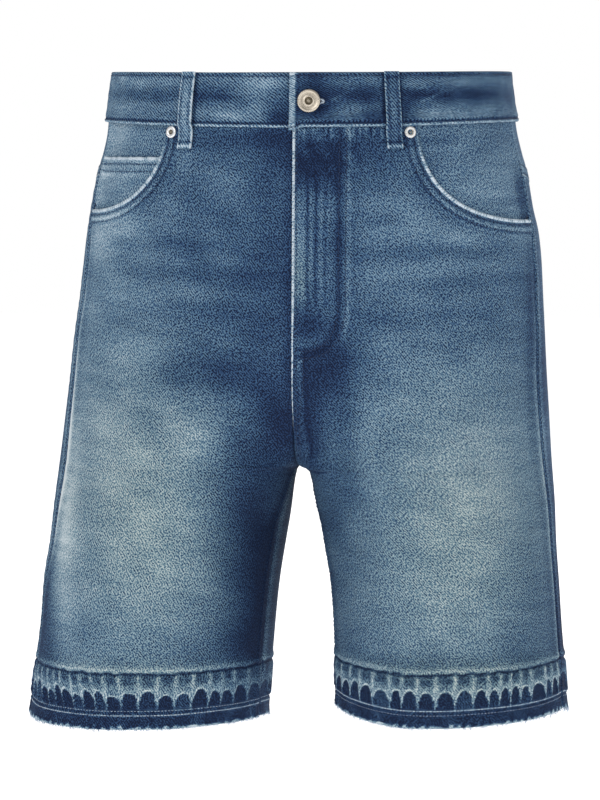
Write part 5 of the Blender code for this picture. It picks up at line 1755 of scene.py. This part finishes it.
face_wash_and_shade += 0.28 * smoothstep((9.0 - end_left - 3.0 * down) / 1.5)
over_lap = (base[..., 1] < 0) * (length > 300.0)
# Painted shade for the opening at the buttonhole's outer end.
face_wash_and_shade -= 0.6 * bell((base[..., 0] - BUTTONHOLE_X[1]) / 5.0) * bell((z - BUTTON_Z) / 0.8) * over_lap
# Painted shadow beside each loop on the band, where the cloth is also less worn.
for centre in LOOP_ANGLES:
    beside = WAIST_RUN * np.abs(wrapped(angles - centre)) - LOOP_WIDTH / 2
    face_wash_and_shade -= 0.30 * bell((beside - 0.6) / 1.1)
face_wash_and_shade -= 0.20 * bell((end_left - 4.4) / 0.8)
wash_and_shade = np.where(outward, face_wash_and_shade, wash_and_shade)
rows, columns = points.shape[:2]
index = np.arange(rows * columns).reshape(rows, columns)
closed = np.concatenate([index, index[:1]])
caps = np.stack([np.full(rows, rows * columns), closed[:-1, 0], closed[1:, 0]], -1)
caps_far = np.stack([np.full(rows, rows * columns + 1), closed[1:, -1], closed[:-1, -1]], -1)
ends = np.stack([points[:, 0].mean(0), points[:, -1].mean(0)])
inside = np.where(depth < 0, 0.6, 0.0)[:, None] + 0 * z
flat = np.stack([down, -run_lengths(points)], -1).reshape(-1, 2)
bag = Bag()
bag.add(np.concatenate([points.reshape(-1, 3), ends]), grid_quads(closed), np.concatenate([caps, caps_far]),
        np.concatenate([np.clip(wash_and_shade, 0, 1).reshape(-1), [0.8, 0.8]]),
        np.concatenate([inside.reshape(-1), [0.0, 0.0]]),
        np.concatenate([flat, [[20.0, 0.0], [20.0, 900.0]]]))
band_points, band_out, band_down = (grid[:FACE_ROWS] for grid in (points, out, down))
pieces["waistband"] = bag.make("waistband_cloth", BAND_DENIM)

# %% [markdown]
# ## Belt loops
# Each loop is a narrow strip, folded in three, laid over the waistband and turned under at its
# foot. Its edges are the thickest place on the garment and so the most worn.

# %% Loops
LOOP_THICKNESS = 2.0
LOOP_TOP = -2.6
LOOP_FOOT = -58.0
LOOP_BULGE = 1.2
LOOP_GAP = 0.9
LOOP_ROWS = (-0.62, 0.62)       # stitch rows, as shares of the half width
dark_rows = Bag()
pale_rows = Bag()


def lap_offset(angle):
    """Offset of the waistband's face at an angle that only one ply of it covers."""
    lap_line = WAIST_RUN * (band_angle(LAP_UNDER_X) - band_angle(LAP_END_X))
    if angle >= 0:
        away = WAIST_RUN * (angle - band_angle(LAP_END_X)) - lap_line
        return LAP_OFFSET * float(1 - smoothstep(away / LAP_FADE))
    away = WAIST_RUN * (band_angle(LAP_UNDER_X) - angle) - lap_line
    return -LAP_OFFSET * float(1 - smoothstep(away / LAP_FADE))


def loop_lift(centre, z):
    """How far a loop's back stands out: over the band's step, with a bulge in the middle."""
    turn = math.radians(centre)
    over = smoothstep((z - band_foot(turn) + 4.0) / 5.0)
    share = (z - LOOP_FOOT) / (LOOP_TOP - LOOP_FOOT)
    return (LOOP_GAP + (band_lift(turn, z) + lap_offset(centre)) * over
            + LOOP_BULGE * np.sin(np.pi * share) ** 2)


def loop_section(count=10):
    """A flat oval, once round: across from -1 to 1 and depth from 0 to 1."""
    flat = np.linspace(-1, 1, count)
    turn = np.linspace(0, math.pi, 5)[1:-1]
    edge = 0.09
    across = np.concatenate([flat * (1 - edge), (1 - edge) + edge * np.sin(turn), -flat * (1 - edge),
                             -(1 - edge) - edge * np.sin(turn)])
    deep = np.concatenate([np.ones(count), (1 + np.cos(turn)) / 2, np.zeros(count), (1 - np.cos(turn)) / 2])
    return across, deep


for number, centre in enumerate(LOOP_ANGLES, 1):
    bag = Bag()
    across, deep = loop_section()
    half_angle = LOOP_WIDTH / 2 / WAIST_RUN
    z = np.linspace(LOOP_FOOT, LOOP_TOP, 90)[:, None]
    spot = wrapped(centre + across[None, :] * half_angle) + 0 * z
    zz = z + 0 * spot
    base = waist_point(spot, zz)
    out = waist_normal(np.full_like(zz, centre), zz)
    from_foot = zz - LOOP_FOOT
    from_top = LOOP_TOP - zz
    edge_mm = (1 - np.abs(across[None, :])) * LOOP_WIDTH / 2 + 0 * zz
    puff = 0.5 * smoothstep((4.5 - from_foot) / 1.5) - 0.3 * bell((edge_mm - 2.3) / 0.6)
    puff += -0.4 * bell((from_top - 4.0) / 0.7) + 0.12 * np.sin(zz * 2.1)
    points = base + out * (loop_lift(centre, z) + (LOOP_THICKNESS + puff) * deep[None, :])[..., None]
    wash_and_shade = (0.32 if centre > 0 else 0.56) + 0.06 * waves(zz, across[None, :] * 6, 8.0, 70 + number)
    wash_and_shade += 0.40 * bell(edge_mm / 1.2)
    wash_and_shade += 0.36 * bell((from_foot - 1.6) / 1.2) - 0.3 * bell((from_foot - 4.6) / 0.8)
    wash_and_shade -= 0.22 * bell((edge_mm - 2.3) / 0.7)
    wash_and_shade += 0.16 * bell((edge_mm - 6.0) / 3.0) * bell((zz + 30.0) / 20.0)
    wash_and_shade += 0.14 * bell(from_top / 1.2) - 0.26 * bell((from_top - 4.0) / 0.9)
    ends = np.stack([points[0].mean(0), points[-1].mean(0)])
    flat = np.stack([-across[None, :] * 6 + 0 * zz, zz], -1).reshape(-1, 2)
    bag.add(np.concatenate([points.reshape(-1, 3), ends]), *tube_faces(*points.shape[:2]),
            np.concatenate([np.clip(wash_and_shade, 0, 1).reshape(-1), [0.6, 0.4]]), 0.0,
            np.concatenate([flat, [[0, LOOP_FOOT], [0, LOOP_TOP]]]))
    pieces[f"belt_loop_{number}"] = bag.make(f"belt_loop_{number}_cloth", BAND_DENIM)
    for edge in LOOP_ROWS:
        z = np.linspace(LOOP_FOOT + 4.0, LOOP_TOP - 4.5, 60)
        spot = wrapped(np.full_like(z, centre + edge * half_angle))
        out = waist_normal(np.full_like(z, centre), z)
        path = waist_point(spot, z) + out * (loop_lift(centre, z) + LOOP_THICKNESS - 0.25)[:, None]
        add_stitches(dark_rows, path, out, radius=0.26)

# %% [markdown]
# ## Fly pieces
# Behind the lap are the facing, sewn inside the left front, and the shield behind the opening.
# Hardly any of them shows, so they are the panels' form moved inwards, in unworn indigo.

# %% Facing and shield
FLY_PIECES = {
    "fly_facing": {"reach": (4.6, 44.0), "foot": -178.0, "lift": -2.3},
    "fly_shield": {"reach": (-14.0, 38.0), "foot": -182.0, "lift": -4.9},
}
FLY_FOOT_CURVE = 34.0
UNWORN_DENIM = denim("unworn_indigo_twill", twill=0.05, pick=0.02, grain=0.4)
for node, sizes in FLY_PIECES.items():
    bag = Bag()
    x = np.linspace(*sizes["reach"], 41)
    bend = ((x - x[0]) / (x[-1] - x[0])) ** 3
    rows = np.linspace(0, 1, 81)[:, None]
    z = mix(sizes["foot"] + FLY_FOOT_CURVE * bend, BAND_FOOT_FRONT - 1.5, rows)
    spot = ring_angle(x + 0 * z, z)
    out = waist_normal(spot, z)
    points = waist_point(spot, z) + out * sizes["lift"]
    add_wall(bag, points, points - out * CLOTH, 0.14 + 0 * z, np.stack([x + 0 * z, z], -1), 0.3)
    pieces[node] = bag.make(f"{node}_cloth", UNWORN_DENIM)

# %% [markdown]
# ## Rows of topstitching
# Most seams here are sewn in thread dyed to match, so they read as dark dotted lines. The two rows
# that hold the hem's edge have faded almost white.


# %% Where the rows run
INSEAM_ROWS = (1.6, 7.2)        # mm from the seam
SEAT_ROWS = (1.8, 7.4)
YOKE_ROWS = (2.2, 8.2)
FLY_ROWS = (-1.6, 3.6)          # outside the J
CROTCH_CLOSES = -226.0          # below this the second row beside the middle draws in
CROTCH_CLOSE_BY = 0.35


def panel_row(bag, side, face, across, level, **settings):
    points, out, _ = cloth(side, face, across, level)
    add_stitches(bag, points, out, **settings)


def beside_edge(side, face, edge, distance, level):
    """across at a distance in mm from the inseam (edge 0) or the side seam (edge 1)."""
    at = np.full_like(level, float(edge))
    inward = 0.01 if edge == 0 else -0.01
    gap = surface(side, face, at + inward, level) - surface(side, face, at, level)
    return at + inward * distance / np.linalg.norm(gap, axis=-1)


def beside_middle(side, face, distance, z):
    """Places at a distance in mm beside the middle seam, at the heights z."""
    near = 1 - CROTCH_CLOSE_BY * smoothstep((CROTCH_CLOSES - z) / 24.0) * (distance > 4.0)
    x = centre_x(z) + side * distance * near + (fly_shift(z) if face == FRONT else 0.0)
    return find_place(side, face, x, z)


for side in (1, -1):
    across, z = mouth_line(side, mouth_shares(200), mouth_start(side), MOUTH_FOOT[side])
    edge_points, edge_out, _ = cloth(side, FRONT, across, climb_at(FRONT, z))
    along = unit(np.gradient(edge_points, axis=0))
    inward = unit(np.cross(along, edge_out)) * side
    inward = inward * np.where((inward[:, 0] * side < 0) | (inward[:, 2] < 0), 1, -1)[:, None]
    for distance in MOUTH_ROWS:
        target = edge_points + inward * distance
        place_across, place_level = find_place(side, FRONT, target[:, 0], target[:, 2])
        keep = (target[:, 2] < BAND_FOOT_FRONT - 1.0) & (place_across < 0.995)
        panel_row(dark_rows, side, FRONT, place_across[keep], place_level[keep])
    level = np.linspace(0.004, 1.0, 200)
    for distance in INSEAM_ROWS:
        panel_row(dark_rows, side, FRONT, beside_edge(side, FRONT, 0, distance, level), level)
    low = np.linspace(0.004, climb_at(BACK, YOKE_FOOT_SIDE - 4.0), 320)
    panel_row(dark_rows, side, BACK, beside_edge(side, BACK, 1, 2.0, low), low)
    rise = np.linspace(CROTCH + 8.0, YOKE_FOOT_MIDDLE - 1.0, 200)
    for distance in SEAT_ROWS:
        panel_row(dark_rows, side, BACK, *beside_middle(side, BACK, distance, rise))
    for face in (FRONT, BACK):
        across = np.linspace(0.008, 0.992, 400)
        for sewn in rows_of(HEM_ROW_COLUMNS, HEM_ROWS_SEWN[side]):
            level = np.full_like(across, (HEM_STITCH[side] + sewn["height"]) / (CROTCH - HEM[side]))
            panel_row(pale_rows, side, face, across, level, pitch=2.5, length=sewn["length"],
                      radius=sewn["radius"])

for shift in FLY_ROWS:
    panel_row(dark_rows, 1, FRONT, *find_place(1, FRONT, *fly_curve(shift)))
for distance, top in ((2.4, BAND_FOOT_FRONT - 1.0), (7.4, FLY_FOOT[1] - 4.0)):
    rise = np.linspace(CROTCH + 8.0, top, 200)
    panel_row(dark_rows, 1, FRONT, *beside_middle(1, FRONT, distance, rise))

# %% Rows on the band, the yokes and the pockets
for down_at in BAND_ROWS:
    row = np.argmin(np.abs(band_down.mean(1) - down_at))
    add_stitches(dark_rows, band_points[row], band_out[row])
for side in (1, -1):
    across = np.linspace(0.01, 0.99, 200)
    for height in YOKE_ROWS:
        z = yoke_foot(across) + height
        points, out, _ = along_panel(side, BACK, across, climb_at(BACK, z), 0.45)
        add_stitches(dark_rows, points, out)
    points, out = pocket_grids[side]
    rows, columns = points.shape[:2]
    for inset in BACK_POCKET_ROWS:
        c = round(inset / BACK_POCKET_SPAN[0] * columns)
        r = round(inset / BACK_POCKET_SPAN[1] * rows)
        path, direction = (np.concatenate([grid[:r:-1, c], grid[r, c:columns - c], grid[r:, columns - 1 - c]])
                           for grid in (points, out))
        add_stitches(dark_rows, path, direction)
    r = rows - 1 - round(BACK_POCKET_HEM / BACK_POCKET_SPAN[1] * rows)
    add_stitches(dark_rows, points[r, 2:-2], out[r, 2:-2])
turn = np.linspace(0, 2 * math.pi, 80)
hole_x = sum(BUTTONHOLE_X) / 2 + (BUTTONHOLE_X[1] - BUTTONHOLE_X[0]) / 2 * np.cos(turn)
hole_z = BUTTON_Z + BUTTONHOLE_HALF * np.sin(turn)
hole_angle = ring_angle(hole_x, hole_z)
hole_out = waist_normal(hole_angle, hole_z)
hole_lift = band_lift(np.radians(hole_angle), hole_z) + LAP_OFFSET
hole = waist_point(hole_angle, hole_z) + hole_out * hole_lift[:, None]
add_stitches(pale_rows, hole, hole_out, pitch=0.5, length=1.7, radius=0.26, slant=6.0)
for below in COIN_ROWS:
    row = len(coin_points) - 1 - round(below / (COIN_TOP - COIN_FOOT) * len(coin_points))
    add_stitches(dark_rows, coin_points[row], coin_out[row])
stitch_pieces = [dark_rows.make("topstitching_indigo", DARK_THREAD, sharp=80.0),
                 pale_rows.make("hem_stitching_faded", PALE_THREAD, sharp=80.0)]

# %% [markdown]
# ## The raw edge
# Cut denim sheds its weft, and the ends of the pale yarns stand out along the edge. Each yarn end
# is a thin three-sided strand with a bend in it. All the strands of an edge are one array of
# points, from a root on the cut edge to a tip, scattered by a seeded random generator.

# %% Yarn ends
STRANDS = 700           # on each front and each back
STRAND_WIDTH = 0.16
STRAND_SEGMENTS = 4
STRAY_SHARE = 0.012     # of them are long loose threads
rng = np.random.default_rng(17)


def add_strands(bag, root, out, down, length, curl):
    """Tapered three-sided strands: a quadratic path from the root, moved sideways by its curl."""
    share = np.linspace(0, 1, STRAND_SEGMENTS)[None, :, None]
    beside = unit(np.cross(out, down))
    path = (root[:, None, :] + down[:, None, :] * share * length[:, None, None]
            + beside[:, None, :] * share ** 2 * curl[:, :1, None]
            + out[:, None, :] * share ** 2 * curl[:, 1:, None])
    turn = np.arange(3) * 2 * math.pi / 3
    circle = out[:, None, None, :] * np.cos(turn)[:, None] + beside[:, None, None, :] * np.sin(turn)[:, None]
    taper = (STRAND_WIDTH * (1 - 0.5 * share[..., 0]))[:, :, None, None]
    rings = path[:, :, None, :] + circle * taper
    one = np.arange(STRAND_SEGMENTS * 3).reshape(STRAND_SEGMENTS, 3)
    one = np.concatenate([one, one[:, :1]], axis=1)
    ends = np.array([[one[0, 2], one[0, 1], one[0, 0]], [one[-1, 0], one[-1, 1], one[-1, 2]]])
    offset = (np.arange(len(root)) * STRAND_SEGMENTS * 3)[:, None, None]
    bag.add(rings, (grid_quads(one)[None] + offset).reshape(-1, 4), (ends[None] + offset).reshape(-1, 3))


bag = Bag()
for side in (1, -1):
    for face in (FRONT, BACK):
        across = rng.uniform(0.002, 0.998, STRANDS)
        level = rng.uniform(-0.2, 1.0, STRANDS) * 0.004
        points, out, _ = cloth(side, face, across, level)
        points = points - out * rng.uniform(0.1, 1.2, STRANDS)[:, None]
        along = surface(side, face, across + 0.002, level) - surface(side, face, across - 0.002, level)
        slope = unit(along) * rng.normal(0, 0.55, STRANDS)[:, None]
        down = unit(np.array([0.0, 0.0, -1.0]) + slope + out * rng.normal(0.05, 0.25, STRANDS)[:, None])
        length = 0.8 + rng.gamma(2.0, 0.55, STRANDS)
        stray = rng.uniform(size=STRANDS) < STRAY_SHARE
        length = np.where(stray, length + rng.uniform(4, 9, STRANDS), length)
        add_strands(bag, points, out, down, length, rng.normal(0, 0.5, (STRANDS, 2)) * length[:, None])
fray = bag.make("raw_edge_yarns", RAW_YARN, sharp=80.0)

# %% [markdown]
# ## Button and rivets
# The shank button is a pressed brass cap with a rolled rim round a dish and a pierced boss. Its face
# is left without lettering: a ring of plain beads stands there. A turned part is a profile
# spun round an axis: radius and height are arrays, and the circle is one more array.


# %% Turned metal
def add_turned(bag, profile, seat, normal, steps, wear):
    """Spins (radius, height) pairs round the normal, closed by a point at each end of the axis."""
    normal = unit(np.asarray(normal))
    right = unit(np.cross(normal, (0.0, 0.0, 1.0)))
    up = np.cross(right, normal)
    turn = np.arange(steps) * 2 * math.pi / steps
    radius = np.array([p[0] for p in profile[1:-1]])[:, None, None]
    height = np.array([p[1] for p in profile[1:-1]])[:, None, None]
    circle = np.cos(turn)[:, None] * right + np.sin(turn)[:, None] * up
    rings = seat + radius * circle + height * normal
    points = np.concatenate([rings.reshape(-1, 3), [seat + profile[0][1] * normal],
                             [seat + profile[-1][1] * normal]])
    tone = np.concatenate([np.repeat(np.asarray(wear[1:-1]), steps), [wear[0], wear[-1]]])
    bag.add(points, *tube_faces(len(radius), steps), tone)


def rounded_profile(rows):
    """Corners of a profile cut twice: new points lie a quarter in from the ends of its edges."""
    points = np.array(rows, dtype=float)
    for _ in range(2):
        inner = points[1:-1]
        low = mix(points[:-2], inner, 0.75)
        high = mix(inner, points[2:], 0.25)
        cut = np.stack([low, high], 1).reshape(-1, points.shape[1])
        points = np.concatenate([points[:1], cut, points[-1:]])
    return points


BUTTON_RADIUS = 8.5
METAL_GAP = 0.75
button_angle = band_angle(BUTTON_X)
normal = waist_normal(np.array([button_angle]), np.array([BUTTON_Z]))[0]
seat = waist_point(np.array([button_angle]), np.array([BUTTON_Z]))[0]
seat = seat + normal * (band_lift(math.radians(button_angle), BUTTON_Z) + LAP_OFFSET + METAL_GAP)
r = BUTTON_RADIUS
# radius, height, wear
BUTTON_PROFILE = (
    (0.0, 0.0, 0.2), (3.2, 0.0, 0.2), (3.2, 1.2, 0.2), (r - 1.4, 1.2, 0.3), (r - 0.3, 1.8, 0.5),
    (r, 2.7, 0.7), (r - 0.4, 3.7, 0.85), (r - 1.3, 4.15, 0.95), (r - 2.2, 3.75, 0.75), (r - 3.2, 3.5, 0.7),
    (r - 4.4, 3.45, 0.75), (3.5, 3.75, 0.9), (3.1, 3.8, 0.85), (2.6, 3.2, 0.45), (2.2, 2.2, 0.18),
    (1.5, 2.1, 0.25), (1.2, 2.6, 0.5), (0.5, 2.7, 0.55), (0.0, 2.6, 0.5),
)
profile = rounded_profile(BUTTON_PROFILE)
bag = Bag()
add_turned(bag, profile[:, :2], seat, normal, 96, profile[:, 2])
right = unit(np.cross(normal, (0.0, 0.0, 1.0)))
up_vector = np.cross(right, normal)
BEADS = 24
for bead in range(BEADS):
    turn = 2 * math.pi * bead / BEADS
    spot = seat + (r - 3.0) * (math.cos(turn) * right + math.sin(turn) * up_vector) + 3.45 * normal
    dome = ((0.0, -0.2), (0.42, -0.2), (0.42, 0.05), (0.30, 0.22), (0.0, 0.30))
    add_turned(bag, dome, spot, normal, 10, (0.6, 0.6, 0.7, 0.9, 0.95))
pieces["waist_button"] = bag.make("shank_button", BUTTON_METAL, sharp=60.0)

RIVET_ANGLES = {1: 31.8, -1: 33.4}
RIVET_Z = -46.0
RIVET_RADIUS = 4.5
q = RIVET_RADIUS
RIVET_PROFILE = (
    (0.0, 0.0, 0.3), (q - 0.3, 0.0, 0.4), (q, 0.35, 0.7), (q - 0.3, 0.95, 0.9), (q - 1.2, 1.3, 0.97),
    (q - 2.2, 1.2, 0.9), (1.75, 0.95, 0.6), (1.5, 0.5, 0.15), (0.9, 0.4, 0.12), (0.6, 0.7, 0.4), (0.0, 0.8, 0.5),
)
for side in (1, -1):
    bag = Bag()
    angle_at = np.array([side * RIVET_ANGLES[side]])
    z_at = np.array([RIVET_Z])
    normal = waist_normal(angle_at, z_at)[0]
    seat = waist_point(angle_at, z_at)[0] + normal * METAL_GAP
    profile = rounded_profile(RIVET_PROFILE)
    add_turned(bag, profile[:, :2], seat, normal, 64, profile[:, 2] * (0.72 if side > 0 else 1.0))
    pieces[f"rivet_{side_name(side)}"] = bag.make(f"pocket_rivet_{side_name(side)}", RIVET_METAL, sharp=60.0)

# %% [markdown]
# ## Each piece on the body
# Every piece rides on the one body. A cloth piece stands for its solid, which is hidden.

# %% Ride and replace
for node, piece in pieces.items():
    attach(piece, "root")
    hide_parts(node)
for piece in [*stitch_pieces, fray]:
    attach(piece, "root")

# %% [markdown]
# ## Floor, light and camera
# The shorts hang at the height where a wearer would hold them, over a wide white floor. A paper
# wall behind them would hide them from the back, so the white behind them is the world itself: it
# looks white to the camera but lights the cloth more gently. The floor glows a little, as white
# acrylic lit from below does, so it meets that white without a line.

# %% The floor
FLOOR_Z = -0.62
FLOOR_REACH = 9.0
FLOOR_GLOW = 0.72
reach = np.linspace(-FLOOR_REACH, FLOOR_REACH, 3)
floor_grid = np.stack(np.broadcast_arrays(reach[None, :], reach[:, None], FLOOR_Z), -1)
floor_mesh = bpy.data.meshes.new("studio_floor")
floor_quads = grid_quads(np.arange(9).reshape(3, 3))
floor_mesh.from_pydata(floor_grid.reshape(-1, 3).tolist(), [], floor_quads.tolist())
acrylic, acrylic_shader = new_material("white_acrylic_floor")
acrylic_shader.inputs["Base Color"].default_value = linear("#f7f7f7")
acrylic_shader.inputs["Roughness"].default_value = 0.95
acrylic_shader.inputs["Emission Color"].default_value = linear("#ffffff")
acrylic_shader.inputs["Emission Strength"].default_value = FLOOR_GLOW
floor_mesh.materials.append(acrylic)
floor = bpy.data.objects.new("studio_floor", floor_mesh)
bpy.context.scene.collection.objects.link(floor)


# %% Lights
LIGHT_TARGET = (0.0, 0.0, -0.25)


def area_light(name, place, size, power):
    """A square lamp at place, turned to look at the shorts."""
    lamp = bpy.data.lights.new(name, "AREA")
    lamp.shape = "SQUARE"
    lamp.size = size
    lamp.energy = power
    made = bpy.data.objects.new(name, lamp)
    bpy.context.scene.collection.objects.link(made)
    made.location = place
    away = [t - p for t, p in zip(LIGHT_TARGET, place)]
    flat = math.hypot(away[0], away[1])
    made.rotation_euler = (math.pi / 2 + math.atan2(away[2], flat), 0.0, math.atan2(-away[0], away[1]))
    return made


area_light("key_light", (-1.6, -2.6, 1.5), 1.8, 31.0)
area_light("fill_light", (2.4, -2.0, 0.6), 1.8, 15.5)
area_light("back_light", (1.4, 3.0, 1.4), 2.4, 52.0)
WORLD_LIGHT = 0.38      # how strongly the world lights things
world = bpy.data.worlds.new("studio")
world.use_nodes = True
world_tree = world.node_tree
seen = add_node(world_tree, "LightPath", output="Is Camera Ray")
strength = add_node(world_tree, "Math", {0: seen, 1: 1 - WORLD_LIGHT, 2: WORLD_LIGHT},
                    operation="MULTIPLY_ADD")
world_tree.nodes["Background"].inputs["Color"].default_value = linear("#ffffff")
world_tree.links.new(strength, world_tree.nodes["Background"].inputs["Strength"])
bpy.context.scene.world = world
bpy.context.scene.view_settings.view_transform = "Standard"

# %% Camera
VIEW_AZIMUTH = math.radians(8.4)
VIEW_TILT = math.radians(3.94)
VIEW_DISTANCE = 3.0
VIEW_HEIGHT = -0.040
VIEW_ASIDE = -0.0079
camera_data = bpy.data.cameras.new("camera")
camera_data.sensor_fit = "HORIZONTAL"
camera_data.sensor_width = 36.0
camera_data.lens = 240.6
camera = bpy.data.objects.new("camera", camera_data)
camera.location = (VIEW_ASIDE * math.cos(VIEW_AZIMUTH) + VIEW_DISTANCE * math.sin(VIEW_AZIMUTH),
                   VIEW_ASIDE * math.sin(VIEW_AZIMUTH) - VIEW_DISTANCE * math.cos(VIEW_AZIMUTH), VIEW_HEIGHT)
camera.rotation_euler = (math.pi / 2 - VIEW_TILT, 0.0, VIEW_AZIMUTH)
bpy.context.scene.collection.objects.link(camera)
bpy.context.scene.camera = camera
